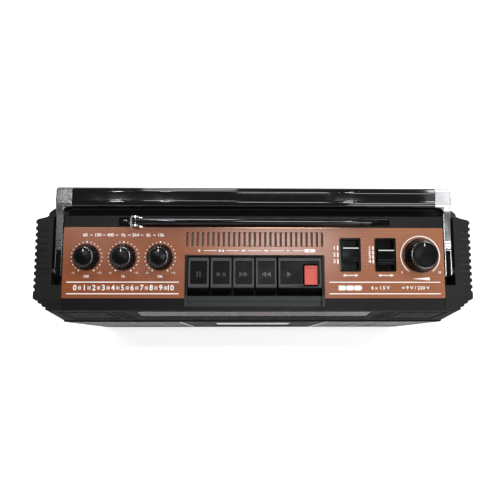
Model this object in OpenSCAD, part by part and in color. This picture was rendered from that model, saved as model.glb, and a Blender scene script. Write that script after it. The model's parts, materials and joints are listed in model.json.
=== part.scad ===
// Portable stereo radio and cassette recorder with a fold-back carrying handle.
// Millimetres. +X is the listener's right, -Y the front, +Z up. The origin is the
// middle of the footprint, on the surface that the feet stand on.

/* [Cabinet] */
// Width over both side cheeks
body_w = 420; // [400:1:520]
// Depth of the cabinet without the handle
body_d = 114; // [108:1:150]
// Height of the deck's rear edge above the floor
deck_h = 187; // [180:1:240]
// Slope of the deck down towards the front, degrees
deck_slope = 9.3; // [5:0.1:13]
// Wall of the cabinet mouldings
wall = 2.6; // [2:0.1:3.4]
// Height of the rubber feet
foot_h = 4; // [2:0.5:8]
// Width of each cheek outside its handle slot
cheek_w = 16.5; // [15:0.5:24]
// Height of the leaning dial face
dial_h = 36; // [30:1:42]
// How far the foot of the dial face stands in front of its top edge
dial_lean_d = 7; // [3:0.5:10]
// Drop from the deck's rear edge to the ledge under the folded handle
ledge_drop = 20; // [18:1:28]
// Pitch of the upright flutes in the cheeks
flute_pitch = 6.1; // [4.5:0.1:8]

/* [Control panel] */
// Depth of the control panel along the slope
panel_d = 68; // [64:1:84]
// Thickness of the control panel
panel_t = 0.8; // [0.5:0.1:1.2]
// Black strip between the panel and the drop to the ledge
strip_d = 11; // [10.5:0.5:14]
// Depth of the stepped edge in front of the panel
step_d = 10.5; // [8:0.5:14]
// Number of sound slots behind the keys
slot_count = 27; // [9:1:33]
// Pitch of the sound slots
slot_pitch = 5; // [4:0.1:6]
// Length of a sound slot
slot_len = 14; // [8:0.5:16]

/* [Knobs and switches] */
// Radius of a tone knob
tone_r = 12.5; // [9:0.5:14]
// Radius of the volume knob
volume_r = 16.5; // [12:0.5:18]
// Height of the tone knobs above the panel
knob_h = 9; // [8:0.5:16]
// Pitch of the tone knobs
tone_pitch = 35; // [32:0.5:40]
// Width of a slide switch's window
switch_w = 20.5; // [16:0.5:22]
// Length of a slide switch's window
switch_len = 32.5; // [28:0.5:36]

/* [Keys] */
// Pitch of the cassette keys
key_pitch = 21.4; // [18:0.1:24]
// Gap between neighbouring keys
key_gap = 1.8; // [1.2:0.1:2.6]
// Length of a key's top along the slope
key_len = 29; // [25:0.5:31]
// How far a key turns when it is pressed, degrees
key_turn = 6; // [4:0.5:7]

/* [Handle and antenna] */
// Thickness of a handle arm
arm_t = 6.5; // [5:0.5:9]
// Depth of a handle arm
arm_h = 14; // [11:0.5:16]
// Depth of the grip along the slope
grip_d = 19.5; // [16:0.5:24]
// Thickness of the grip
grip_t = 15; // [12:0.5:18]
// Length of the plated corner at each end of the grip
corner_w = 15.5; // [13:0.5:24]
// Distance from the pivot to the middle of the grip
handle_reach = 71; // [68:0.5:80]
// Radius of the pins that the handle turns on
pin_r = 3; // [2:0.25:4]
// Radius of the antenna's outer tube
antenna_r = 3.3; // [2.8:0.1:3.5]
// Length of the folded antenna
antenna_len = 232; // [180:1:250]

/* [Front] */
// Side of a speaker grille
grille_w = 116; // [100:1:117]
// Radius of a speaker's frame
speaker_r = 51; // [40:0.5:54]
// Width of the cassette door
door_w = 124; // [116:1:126]
// Height of the cassette door
door_h = 88; // [86:1:96]
// Width of the dial window
window_w = 228; // [180:1:250]

/* [Cassette and batteries] */
// Width of a compact cassette
cassette_w = 100.4; // [100:0.1:101]
// Height of a compact cassette
cassette_h = 63.8; // [63:0.1:64.5]
// Thickness of a compact cassette
cassette_t = 12.1; // [11:0.1:12.6]
// Distance between a cassette's two hubs
hub_pitch = 42.5; // [42:0.1:43]
// Diameter of a battery cell
cell_d = 34.2; // [26:0.1:35]
// Length of a battery cell
cell_len = 61.5; // [50:0.1:62]

/* [Hidden] */
$fn = 64;

black = [0.06, 0.06, 0.065];
gloss_black = [0.03, 0.03, 0.03];
dark_grey = [0.14, 0.14, 0.15];
copper = [0.5, 0.27, 0.17];
plated = [0.75, 0.76, 0.78];
steel = [0.55, 0.56, 0.58];
red = [0.72, 0.12, 0.11];
rubber = [0.03, 0.03, 0.035];
clear = [0.5, 0.35, 0.28, 0.5];

// Cutters run this far past what they cut.
eps = 1;
// Radial clearance of a shaft that turns or slides in a hole.
run = 0.05;
// Gap round a part that drops into a moulding.
fit = 0.3;
// Gap round a part that moves past a moulding.
gap = 0.6;

// ---- the deck's stepped front edge ----
step_n = 3;
step_fall = 0.9;
deck_front = panel_d + 1 + step_d;
deck_drop = step_n * step_fall;

// ---- handle, in the deck's frame: s rearwards along the slope, n square to it ----
pivot_s = -42;
arm_top = 0.5;
pivot_n = arm_top - arm_h / 2;
grip_n = arm_top + 3.5 - grip_t / 2;
grip_s = pivot_s + handle_reach;

// ---- cabinet depths; the grip overhangs the back ----
lip_back = 1.5;
deck_to_front = lip_back + dial_lean_d + deck_front * cos(deck_slope) - deck_drop * sin(deck_slope);
grip_back = deck_to_front + (grip_s + grip_d / 2) * cos(deck_slope)
  - (grip_n - grip_t / 2) * sin(deck_slope);
// A deep deck pushes the back out, so that a ledge stays behind it.
ledge_d = 12;
shell_d = max(body_d, deck_to_front + strip_d + ledge_d);
front_y = -max(shell_d, grip_back) / 2;
back_y = front_y + shell_d;
deck_y = front_y + deck_to_front;
function dp(s, n) = [deck_y + s * cos(deck_slope) - n * sin(deck_slope),
                     deck_h + s * sin(deck_slope) + n * cos(deck_slope)];
edge = dp(-deck_front, -deck_drop);
lip_z = edge[1] - dial_h;
dial_lean = atan2(dial_lean_d, dial_h);
dial_len = norm([dial_lean_d, dial_h]);
ledge_z = deck_h - ledge_drop;
riser_y = dp(strip_d, 0)[0];
split_y = front_y + 61;

// ---- places across the width ----
half_w = body_w / 2;
arm_gap_in = 0.8;
arm_gap_out = 3;
slot_out = half_w - cheek_w;
slot_in = slot_out - arm_gap_out - arm_t - arm_gap_in;
arm_x = slot_in + arm_gap_in;
core_half = slot_out + 5.5;
slot_wall = core_half - wall - slot_out - fit;
slot_depth = arm_h + 2.5;
slot_front = -pivot_s + arm_h / 2 + 6.4;

// ---- side profile of the cabinet, counter-clockwise from the split in its base ----
base_cut = 3;
ledge_cut = 2;
outline = concat(
  [[split_y, foot_h], [back_y - base_cut, foot_h], [back_y, foot_h + base_cut],
   [back_y, ledge_z - ledge_cut], [back_y - ledge_cut, ledge_z], [riser_y, ledge_z],
   dp(strip_d, 0), dp(-panel_d - 1, 0)],
  [for (i = [0:step_n - 1]) for (k = [0, 1])
    dp(-panel_d - 1 - step_d * (i + k) / step_n, -step_fall * (i + 1))],
  [[front_y + lip_back, lip_z], [front_y, lip_z - lip_back], [front_y, foot_h + base_cut],
   [front_y + base_cut, foot_h]]);
riser_i = 5;
edge_i = 7 + 2 * step_n;

function unit(v) = v / norm(v);
function left(v) = [-v[1], v[0]];
// Moves every side of a counter-clockwise polygon inwards by w.
function inset(p, w) = let (n = len(p)) [for (i = [0:n - 1])
  let (a = left(unit(p[i] - p[(i + n - 1) % n])), b = left(unit(p[(i + 1) % n] - p[i])))
  p[i] + (a + b) * w / (1 + a * b)];
inner = inset(outline, wall);
// The wall of the profile from corner i to corner j, mitred at both ends.
function skin(i, j) = concat([for (k = [i:j]) outline[k]], [for (k = [j:-1:i]) inner[k]]);

// ---- plan of the cabinet: the front stands out between cut corners ----
corner_x = cheek_w - 4;
corner_y = 11;
corner_front = front_y + lip_back + dial_lean_d;
rear_cut = 6;
plan = [[half_w - corner_x, front_y], [half_w - corner_x, corner_front],
  [half_w, corner_front + corner_y], [half_w, back_y - rear_cut], [half_w - rear_cut, back_y],
  [rear_cut - half_w, back_y], [-half_w, back_y - rear_cut], [-half_w, corner_front + corner_y],
  [corner_x - half_w, corner_front], [corner_x - half_w, front_y]];
core_cut = (corner_x - (half_w - core_half)) * corner_y / corner_x;
core_plan = [[half_w - corner_x, front_y], [half_w - corner_x, corner_front],
  [core_half, corner_front + core_cut], [core_half, back_y], [-core_half, back_y],
  [-core_half, corner_front + core_cut], [corner_x - half_w, corner_front],
  [corner_x - half_w, front_y]];

module along_x(x0, x1) translate([x0, 0, 0]) rotate([90, 0, 90]) linear_extrude(x1 - x0) children();
module both() {
  children();
  mirror([1, 0, 0]) children();
}
module deck() translate([0, deck_y, deck_h]) rotate([deck_slope, 0, 0]) children();
module deck_at(x, s) deck() translate([x, s, 0]) children();
module dial_face() translate([0, (front_y + lip_back + edge[0]) / 2, (lip_z + edge[1]) / 2])
  rotate([90 - dial_lean, 0, 0]) children();
module front() translate([0, front_y, 0]) children();
module block(x, y, z) translate([x[0], y[0], z[0]]) cube([x[1] - x[0], y[1] - y[0], z[1] - z[0]]);
module bar_x(r, h) rotate([0, 90, 0]) cylinder(r = r, h = h);
module bar_y(r, h) rotate([-90, 0, 0]) cylinder(r = r, h = h);
// A rectangle with round corners, centred.
module round_rect(w, h, r) {
  square([w - 2 * r, h], center = true);
  square([w, h - 2 * r], center = true);
  for (x = [-1, 1], y = [-1, 1]) translate([x * (w / 2 - r), y * (h / 2 - r)]) circle(r, $fn = 32);
}
module whole(p, q) intersection() {
  along_x(-half_w, half_w) polygon(p);
  translate([0, 0, -eps]) linear_extrude(deck_h * 1.5) polygon(q);
}
module top_skin(x0, x1) along_x(x0, x1) polygon(skin(riser_i, edge_i));

// ---- cassette well and its mechanism ----
door_z = foot_h + 34;
barrel_r = 2.5;
door_pin_r = 1.4;
cassette_z = door_z + 16;
cassette_room = 0.8;
cassette_y = barrel_r + 0.2;
carrier_back = cassette_y + cassette_t + cassette_room;
plate_y = carrier_back + 1.4 + gap;
plate_t = 1.6;
hub_z = cassette_z + 34.3;
capstan_x = 20.5;
capstan_z = cassette_z + 6.4;
capstan_r = 1.1;
flywheel_r = 21;
pulley_r = 5.2;
motor_r = 16;
motor_x = -34;
motor_z = capstan_z + 12;
belt_y = plate_y + plate_t + 5;
belt_h = 3;

// ---- speakers ----
speaker_x = (door_w / 2 + 6 + core_half) / 2 + 1;
speaker_z = foot_h + 8 + grille_w / 2;
baffle_t = 2.6;
cone_r = speaker_r - 5;

// ---- battery bay, open to the back ----
bay_half = 3 * cell_len / 2 + 4.5;
bay_z = foot_h + wall + 1;
bay_h = 2 * cell_d + 2;
bay_y = back_y - cell_d - 5;

// ---- fastening: screws enter from the back and reach the front moulding's bosses ----
screw_r = 1.5;
head_r = 3.4;
boss_r = 4.5;
screw_at = concat([for (x = [-1, 1], z = [foot_h + 12, lip_z + 12]) [x * (core_half - 9.5), z]],
                  [for (x = [-1, 1]) [x * (door_w / 2 + 4), lip_z + 4]]);
screw_seat = 18;

// ---- cassette keys: hinged at the back, under the panel ----
key_total = 6 * key_pitch - key_gap;
key_rear = 29;
key_front = key_rear + key_len;
key_lean = 7;
well_half = key_total / 2 + 0.9;
frame_half = well_half + 2.8;
frame_rear = 26.6;
frame_front = panel_d + 1 + step_d * (step_n - 1) / step_n;
frame_n = -17;
// Sill in front of the keys, shallow because the dial pointer runs under it.
sill_s = key_front + key_lean + 0.9;
sill_n = -6;
axle_s = -22;
axle_n = -7;
axle_r = 1.5;
function key_x(i) = -key_total / 2 + i * key_pitch;
record_x = [key_x(5) + 3.2, key_x(6) - key_gap - 4.2];
record_s = [-key_rear - key_len + 3, -key_rear - 8];

// ---- knobs and switches ----
tone_s = -28.9;
tone_x = -slot_in + 92.6;
volume_x = slot_in - 23.2;
volume_s = -27;
stem_r = 3;
band_x = volume_x - 33.8;
function_x = band_x - 34.2;
switch_s = -26.2;
// The function switch has three positions and the band switch four, over the same travel.
switch_travel = 6.5;
function_step = switch_travel;
band_step = 2 * switch_travel / 3;
switch_rim = 2;
switch_deep = 14;
well_n = -7.6;
slider_w = switch_w - 2 * switch_rim - 2 * gap;
slider_len = switch_len - 2 * switch_rim - 2 * gap - 2 * switch_travel;
slider_top = 1.4;
ridge_d = 1.8;
ridge_h = 1.2;
shield_n = -4.9;
shield_t = 1;

// ---- antenna, lying over the rear strip ----
antenna_s = 5;
antenna_n = 4;
antenna_x = -114;
antenna_end = antenna_x - 6.4 + antenna_len;
tip_len = 12;
middle_r = 2.5;
inner_r = 1.7;
ear_t = 1.4;
base_half = antenna_r + 0.1 + ear_t;

// ---- tuning, on the right-hand cheek ----
tune_y = split_y - 5.5;
tune_z = lip_z - 9;
tune_r = 18;
tune_t = 4.4;
drum_r = 9.5;

module shell() difference() {
  whole(outline, core_plan);
  whole(inner, inset(core_plan, wall));
  top_skin(-half_w, half_w);
}

module front_cabinet() color(black) difference() {
  union() {
    intersection() {
      shell();
      translate([-half_w, front_y - eps, 0]) cube([body_w, split_y - front_y + eps, deck_h * 1.5]);
    }
    both() front() block([speaker_x - grille_w / 2 - 2, min(speaker_x + grille_w / 2 + 2, core_half - wall)],
      [wall, wall + baffle_t], [speaker_z - grille_w / 2 - 2, speaker_z + grille_w / 2 + 2]);
    intersection() {
      for (p = screw_at) translate([p[0], front_y, p[1]]) bar_y(boss_r, split_y - front_y);
      whole(inset(outline, wall / 2), core_plan);
    }
    // Cheeks of the door opening, which carry the door's pins and the mechanism's plate.
    both() front() block([door_w / 2 + gap, door_w / 2 + gap + 3], [wall / 2, plate_y],
      [door_z - 3, door_z + door_h + 2]);
    // Raised frame round the door.
    front() block([-door_w / 2 - 3, door_w / 2 + 3], [wall / 2, 2 * wall],
      [door_z - 4, door_z - gap]);
  }
  both() translate([speaker_x, front_y, speaker_z]) {
    translate([0, wall, 0]) rotate([90, 0, 0]) linear_extrude(wall + eps)
      round_rect(grille_w + 2 * fit, grille_w + 2 * fit, 5 + fit);
    bar_y(cone_r, wall + baffle_t + eps);
  }
  front() block([-door_w / 2 - gap, door_w / 2 + gap], [-eps, plate_y],
    [door_z - gap, door_z + door_h + gap]);
  translate([-door_w / 2 - 2, front_y + barrel_r, door_z + barrel_r]) bar_x(door_pin_r + run, door_w + 4);
  translate([core_half - 2 * wall, tune_y, tune_z]) bar_x(stem_r + run, 3 * wall);
  dial_face() {
    translate([0, dial_at, -wall - eps]) linear_extrude(wall + 2 * eps)
      round_rect(window_w, window_h, 2);
    both() translate([0, 0, -face_groove]) linear_extrude(face_groove + eps) {
      difference() {
        polygon(side_panel);
        polygon(inset(side_panel, groove_w));
      }
      for (i = [0:2]) translate([i * 2.8 * groove_w, 0]) polygon(slash);
    }
  }
  for (p = screw_at) translate([p[0], split_y - 22, p[1]]) bar_y(screw_r + run, 22 + eps);
}
window_h = 19;
dial_at = 3.5;
// Grooves at both ends of the dial face: three slashes, then the outline of a field.
face_groove = 0.8;
groove_w = 1.6;
slash_lean = 7;
groove_half = dial_len / 2 - 6;
panel_from = window_w / 2 + 22;
panel_to = core_half - 16;
side_panel = [[panel_from, -groove_half], [panel_to, -groove_half],
  [panel_to + slash_lean, groove_half], [panel_from + slash_lean, groove_half]];
slash_x = window_w / 2 + 6;
slash = [[slash_x, -groove_half], [slash_x + groove_w, -groove_half],
  [slash_x + groove_w + slash_lean, groove_half], [slash_x + slash_lean, groove_half]];

module rear_cabinet() color(black) difference() {
  union() {
    intersection() {
      shell();
      translate([-half_w, split_y, 0]) cube([body_w, shell_d, deck_h * 1.5]);
    }
    for (p = screw_at) translate([p[0], split_y, p[1]]) bar_y(boss_r, back_y - wall - split_y);
    // Battery bay.
    block([-bay_half - 2, bay_half + 2], [bay_y - 2, back_y - wall / 2],
      [foot_h + wall / 2, bay_z + bay_h + 2]);
  }
  block([-bay_half, bay_half], [bay_y, back_y + eps], [bay_z, bay_z + bay_h]);
  // Seat of the battery door.
  block([-bay_half - 3, bay_half + 3], [back_y - 1.6, back_y + eps], [bay_z - 1.4, bay_z + bay_h + 3]);
  for (p = screw_at) translate([p[0], split_y - eps, p[1]]) {
    bar_y(screw_r + run, shell_d);
    translate([0, back_y - split_y + eps - screw_seat, 0]) bar_y(head_r + fit, shell_d);
  }
  translate([inlet_x, back_y, inlet_z]) rotate([90, 0, 0]) translate([0, 0, -eps])
    linear_extrude(wall + 2 * eps) round_rect(inlet_w, inlet_h, 3);
  translate([jack_x, back_y - wall - eps, jack_z]) bar_y(jack_r, wall + 2 * eps);
}
inlet_x = -core_half + 46;
inlet_z = foot_h + 60;
inlet_w = 26;
inlet_h = 15;
jack_x = core_half - 46;
jack_z = foot_h + 60;
jack_r = 4;

// ---- mouldings of the top ----
apron_n = -slot_depth - 2;
module top_deck() color(black) difference() {
  union() {
    top_skin(-slot_in, slot_in);
    both() intersection() {
      along_x(slot_in - wall, slot_in) polygon(inner);
      deck() block([0, slot_in], [-slot_front, deck_front], [apron_n, 0]);
    }
  }
  deck() {
    block([-slot_in - eps, slot_in + eps], [-panel_d, 0], [-panel_t, eps]);
    block([-frame_half, frame_half], [-frame_front, -frame_rear], [apron_n, eps]);
    // Trough under the antenna, with a finger notch at each end.
    block([-131, 131], [1.2, strip_d - 1.6], [-1.4, eps]);
    translate([antenna_x, antenna_s, 0]) block([-6.3, 6.3], [-base_half - fit, base_half + fit], [-1.4, eps]);
    panel_holes(wall + eps);
  }
  both() translate([slot_in - wall - eps, dp(pivot_s, pivot_n)[0], dp(pivot_s, pivot_n)[1]])
    bar_x(pin_r, wall + 2 * eps);
}
// Every hole that the panel shares with the deck, sunk to a depth.
module panel_holes(depth) translate([0, 0, -depth]) linear_extrude(depth + eps) {
  for (i = [0:2]) translate([tone_x - i * tone_pitch, tone_s]) circle(stem_r + 1);
  translate([volume_x, volume_s]) circle(stem_r + 1);
  for (x = [function_x, band_x]) translate([x, switch_s])
    square([switch_w - 1.4, switch_len - 1.4], center = true);
  for (i = [0:slot_count - 1]) translate([(i - (slot_count - 1) / 2) * slot_pitch, -4.6 - slot_len / 2])
    round_rect(2, slot_len, 0.95);
}
module control_panel() color(copper) deck() difference() {
  translate([0, -panel_d / 2, -panel_t]) linear_extrude(panel_t) round_rect(2 * slot_in, panel_d, 1.6);
  block([-frame_half, frame_half], [-panel_d - eps, -frame_rear], [-2, eps]);
  panel_holes(panel_t + eps);
}

module cheek() {
  difference() {
    intersection() {
      along_x(core_half, half_w) polygon(outline);
      whole(outline, plan);
    }
    intersection() {
      along_x(core_half - eps, half_w - wall - 1) polygon(inner);
      whole(inner, inset(plan, wall + 1));
    }
    flutes();
    // The deck's level stops short of the back at the outer corner.
    translate([slot_out, riser_y + 0.6, ledge_z]) rotate(-14)
      block([-eps, 2 * cheek_w], [0, shell_d], [0, deck_h]);
  }
  difference() {
    union() {
      top_skin(slot_in + fit, core_half);
      intersection() {
        along_x(slot_in + fit, slot_out + slot_wall) polygon(outline);
        deck() block([0, half_w], [-slot_front - slot_wall, deck_front], [apron_n, 0]);
      }
    }
    deck() block([0, slot_out], [-slot_front, deck_front], [-slot_depth, arm_h]);
    translate([slot_out - eps, dp(pivot_s, pivot_n)[0], dp(pivot_s, pivot_n)[1]])
      bar_x(pin_r, slot_wall + 2 * eps);
  }
}
flute_r = 1.7;
corner_flute_r = 1.3;
corner_pitch = 4.4;
// The flutes leave both ends of the side plain.
flute_start = 8;
flute_stop = 19;
module flutes() {
  flute_z = [foot_h - eps, deck_h];
  side = [corner_front + corner_y + flute_start, back_y - flute_stop];
  for (y = [side[0]:flute_pitch:side[1]]) translate([half_w + 0.2, y, flute_z[0]])
    cylinder(r = flute_r, h = flute_z[1], $fn = 20);
  // The flutes carry on over the top edge as shallow grooves.
  for (y = [side[0] + flute_pitch:flute_pitch:riser_y - 12])
    deck() translate([half_w - 12.5, (y - deck_y) / cos(deck_slope), 0.45]) bar_x(1.1, 14);
  cut = norm([corner_x, corner_y]);
  for (d = [corner_pitch:corner_pitch:cut - 2]) translate([half_w - corner_x * d / cut + 0.15,
    corner_front + corner_y * (1 - d / cut) - 0.15, flute_z[0]])
    cylinder(r = corner_flute_r, h = flute_z[1], $fn = 20);
}
module left_cheek() color(black) mirror([1, 0, 0]) cheek();
module right_cheek() color(black) difference() {
  union() {
    cheek();
    translate([half_w - wall - tune_t - 1, tune_y, tune_z]) bar_x(tune_r + 5, wall + tune_t + 1);
  }
  translate([half_w - tune_t - 0.6, tune_y, tune_z]) bar_x(tune_r + gap, tune_t + eps);
  translate([core_half, tune_y, tune_z]) bar_x(stem_r + run, half_w - core_half);
}

module key_frame() color(black) deck() difference() {
  union() {
    both() block([well_half, frame_half], [-sill_s - 1.6, -frame_rear], [frame_n, 0.5]);
    both() block([well_half, frame_half], [-frame_front, -sill_s], [sill_n, 0.5]);
    both() block([well_half, frame_half], [-frame_rear, axle_s + 4], [frame_n, -wall - 0.2]);
    block([-frame_half, frame_half], [-sill_s - 1.6, -frame_rear], [frame_n, frame_n + 1.6]);
    translate([-frame_half, 0, 0]) rotate([90, 0, 90]) linear_extrude(2 * frame_half)
      polygon([[-frame_front, sill_n], [-sill_s - 1.6, sill_n], [-sill_s - 1.6, frame_n],
        [-sill_s, frame_n], [-sill_s, -1.4], [-frame_front + 5, -1.4], [-frame_front + 5, -2],
        [-frame_front, -2]]);
    block([-frame_half, frame_half], [-key_rear + 0.9, -frame_rear], [-wall - 0.2, 0.5]);
  }
  translate([-frame_half - eps, axle_s, axle_n]) bar_x(axle_r, 2 * frame_half + 2 * eps);
}
module key_axle() color(steel) deck() translate([-frame_half, axle_s, axle_n])
  bar_x(axle_r, 2 * frame_half);

// A key cap: dished top between raised sides, sloping front, open underneath.
cap_top = 2.6;
cap_rise = 1.4;
cap_rim = 1.9;
dish_depth = 1.5;
dish_margin = 3.6;
module key_cap(x0, x1, rear, front, top, lean, skirt) {
  profile = [[rear, skirt + 1], [rear, top - 1], [rear - 1.2, top], [front + 1, top + cap_rise],
    [front, top + cap_rise - 0.8], [front - lean, skirt]];
  difference() {
    translate([x0, 0, 0]) rotate([90, 0, 90]) linear_extrude(x1 - x0) polygon(profile);
    translate([x0 + 1.5, 0, 0]) rotate([90, 0, 90]) linear_extrude(x1 - x0 - 3)
      polygon([[rear - 1.6, skirt - eps], [rear - 1.6, top - 2.6], [front + 1.6, top - 2.2],
        [front - lean + 2.2, skirt - eps]]);
    translate([(x0 + x1) / 2, (rear + front) / 2, top + cap_rise / 2])
      rotate([-atan2(cap_rise, rear - front), 0, 0]) translate([0, 0, -dish_depth])
      linear_extrude(3 + dish_depth)
      round_rect(x1 - x0 - 2 * cap_rim, rear - front - 2 * dish_margin, 1);
  }
}
module key_lever(x0, x1, from, top) difference() {
  union() {
    translate([x0, 0, 0]) rotate([90, 0, 90]) linear_extrude(x1 - x0)
      polygon([[from, top], [-key_rear - 1, top], [-key_rear - 1, -4.2], [axle_s - 1, axle_n + 3],
        [axle_s - 1, axle_n - 3], [-key_rear - 7, -8.4], [from, -7]]);
    translate([x0, axle_s, axle_n]) bar_x(3.2, x1 - x0);
  }
  translate([x0 - eps, axle_s, axle_n]) bar_x(axle_r + run, x1 - x0 + 2 * eps);
}
module key(i) color(black) deck() difference() {
  union() {
    key_cap(key_x(i), key_x(i + 1) - key_gap, -key_rear, -key_front, cap_top, key_lean, -7.5);
    key_lever(key_x(i) + 6, key_x(i) + 13, -key_rear - 17, 1.2);
  }
}
module pause_key() key(0);
module stop_eject_key() key(1);
module fast_forward_key() key(2);
module rewind_key() key(3);
module play_key() color(black) deck() {
  difference() {
    key_cap(key_x(4), key_x(6) - key_gap, -key_rear, -key_front, cap_top, key_lean, -7.5);
    block([record_x[0] - 0.7, record_x[1] + 0.7], [record_s[0] - 1.5, record_s[1] + 1.4], [-4, 9]);
    // Way through the back of the cap for the record key's lever.
    block([record_x[0] + 1.4, record_x[1] - 1.4], [-key_rear - 3, -key_rear + eps], [-9, -1.4]);
  }
  key_lever(key_x(4) + 6, key_x(4) + 15, -key_rear - 17, 1.2);
}
module record_key() color(red) deck() {
  difference() {
    translate([(record_x[0] + record_x[1]) / 2, (record_s[0] + record_s[1]) / 2, -4])
      linear_extrude(cap_top + cap_rise + 4.8) round_rect(record_x[1] - record_x[0],
        record_s[1] - record_s[0], 0.8);
    translate([(record_x[0] + record_x[1]) / 2, (record_s[0] + record_s[1]) / 2,
      cap_top + cap_rise + 0.2]) linear_extrude(2)
      round_rect(record_x[1] - record_x[0] - 2.6, record_s[1] - record_s[0] - 4, 0.8);
  }
  key_lever(record_x[0] + 2, record_x[1] - 2, record_s[0] + 3, -3.2);
}

// ---- knobs ----
// A knob on its own stem: flat skirt, grooved body that narrows upwards, dished top.
knob_grooves = 24;
knob_groove_r = 0.8;
knob_skirt = 1.6;
knob_ledge = 0.6;
knob_taper = 0.3;
cap_dish = 0.9;
cap_lip = 1.4;
pointer = [3, 1];
function knob_top(r, h) = r - knob_ledge - knob_taper * h;
module knob(r, h) {
  top_r = knob_top(r, h);
  body_h = h - gap - knob_skirt;
  translate([0, 0, gap]) difference() {
    union() {
      cylinder(r = r, h = knob_skirt);
      translate([0, 0, knob_skirt]) cylinder(r1 = r - knob_ledge, r2 = top_r, h = body_h);
    }
    for (i = [1:knob_grooves]) rotate(i * 360 / knob_grooves)
      translate([r - knob_ledge + 0.3, 0, knob_skirt]) rotate([0, -atan2(knob_taper * h, body_h), 0])
      cylinder(r = knob_groove_r, h = h + eps, $fn = 16);
    translate([0, 0, h - gap - cap_dish]) cylinder(r = top_r - cap_lip, h = 2);
  }
  translate([0, 0, -12]) cylinder(r = stem_r, h = 12 + gap + 1);
  translate([top_r - cap_lip - pointer[0] - 0.4, -pointer[1] / 2, h - cap_dish - 0.3])
    cube([pointer[0], pointer[1], cap_dish + 0.1]);
}
module tone_knob(i) color(gloss_black) deck_at(tone_x - i * tone_pitch, tone_s) rotate(90)
  knob(tone_r, knob_h);
module bass_knob() tone_knob(2);
module middle_knob() tone_knob(1);
module treble_knob() tone_knob(0);
module volume_knob() color(gloss_black) deck_at(volume_x, volume_s) rotate(90)
  knob(volume_r, knob_h + 1);
module tone_controls() color(steel) {
  for (i = [0:2]) deck_at(tone_x - i * tone_pitch, tone_s) control();
  deck_at(volume_x, volume_s) control();
}
// A rotary control: bush through the deck, body under it, three tags.
module control() difference() {
  union() {
    translate([0, 0, -wall]) cylinder(r = stem_r + 0.9, h = wall - 0.2);
    translate([0, 0, -wall - 2.4]) cylinder(r = stem_r + 3, h = 2.4);
    translate([0, 0, -wall - 12]) cylinder(r = 8.5, h = 9.6);
    for (x = [-1:1]) translate([x * 5 - 1, -14, -wall - 11]) cube([2, 8, 0.8]);
  }
  translate([0, 0, -13]) cylinder(r = stem_r + run, h = 14);
}

// Each switch: a rim on the panel, a well that the slider runs in, and the body under it.
module switch_bezels() color(gloss_black) for (x = [function_x, band_x]) deck_at(x, switch_s)
  difference() {
    well = [switch_w - 2 * switch_rim, switch_len - 2 * switch_rim];
    union() {
      linear_extrude(0.6) round_rect(switch_w, switch_len, 1.2);
      translate([0, 0, -switch_deep]) linear_extrude(switch_deep)
        square([switch_w - 2, switch_len - 2], center = true);
    }
    translate([0, 0, well_n]) linear_extrude(10) square(well, center = true);
    // Ways out for the slider's shield, under the panel.
    translate([0, 0, shield_n - gap]) linear_extrude(shield_t + 2 * gap)
      square([well[0], switch_len + 2 * eps], center = true);
    // Groove for the stem, closed underneath.
    translate([0, 0, 1.2 - switch_deep]) linear_extrude(switch_deep)
      square([3.4, 2 * switch_travel + 5.5], center = true);
  }
// A slider: finger piece with a raised rear ridge and two grooves near its front, on a
// shield that keeps the well covered, with a stem.
module slider() {
  shield_half = switch_len / 2 - switch_rim + switch_travel + 0.4;
  difference() {
    translate([-slider_w / 2, -slider_len / 2, well_n + gap])
      cube([slider_w, slider_len, slider_top - well_n - gap]);
    for (k = [0.22, 0.4]) translate([-slider_w / 2 - eps, -k * slider_len, slider_top + 0.2])
      bar_x(0.7, slider_w + 2 * eps);
  }
  translate([-slider_w / 2, slider_len / 2 - ridge_d, slider_top - ridge_h])
    cube([slider_w, ridge_d, 2 * ridge_h]);
  translate([-slider_w / 2, -shield_half, shield_n]) cube([slider_w, 2 * shield_half, shield_t]);
  translate([-1.2, -2, 2 - switch_deep]) cube([2.4, 4, 7]);
}
module function_slider() color(gloss_black) deck_at(function_x, switch_s) slider();
module band_slider() color(gloss_black) deck_at(band_x, switch_s - band_step / 2) slider();

module tuning_knob() color(gloss_black) translate([half_w - 0.3, tune_y, tune_z]) rotate([0, -90, 0]) {
  difference() {
    cylinder(r = tune_r, h = tune_t - 0.3);
    for (i = [1:30]) rotate(i * 12) translate([tune_r + 0.3, 0, -eps])
      cylinder(r = knob_groove_r + 0.1, h = 9, $fn = 16);
    translate([0, 0, -eps]) cylinder(r = tune_r - 4, h = 1 + eps);
    translate([tune_r - 8.5, 0, -eps]) cylinder(r = 3, h = 2.4);
  }
  cylinder(r = stem_r, h = half_w - core_half + wall + 8);
  translate([0, 0, half_w - core_half + wall + 1]) cylinder(r = drum_r, h = 6);
}

// ---- handle ----
module grip_section(r) round_rect(grip_d, grip_t, r);
module handle_grip() color(gloss_black) deck() translate([0, grip_s, grip_n])
  rotate([90, 0, 90]) linear_extrude(2 * (arm_x + arm_t - corner_w), center = true) {
    grip_section(3.5);
    for (s = [-1, 1]) translate([s * grip_d / 4, grip_t / 2 - 2.2]) circle(2.6);
  }
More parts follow.
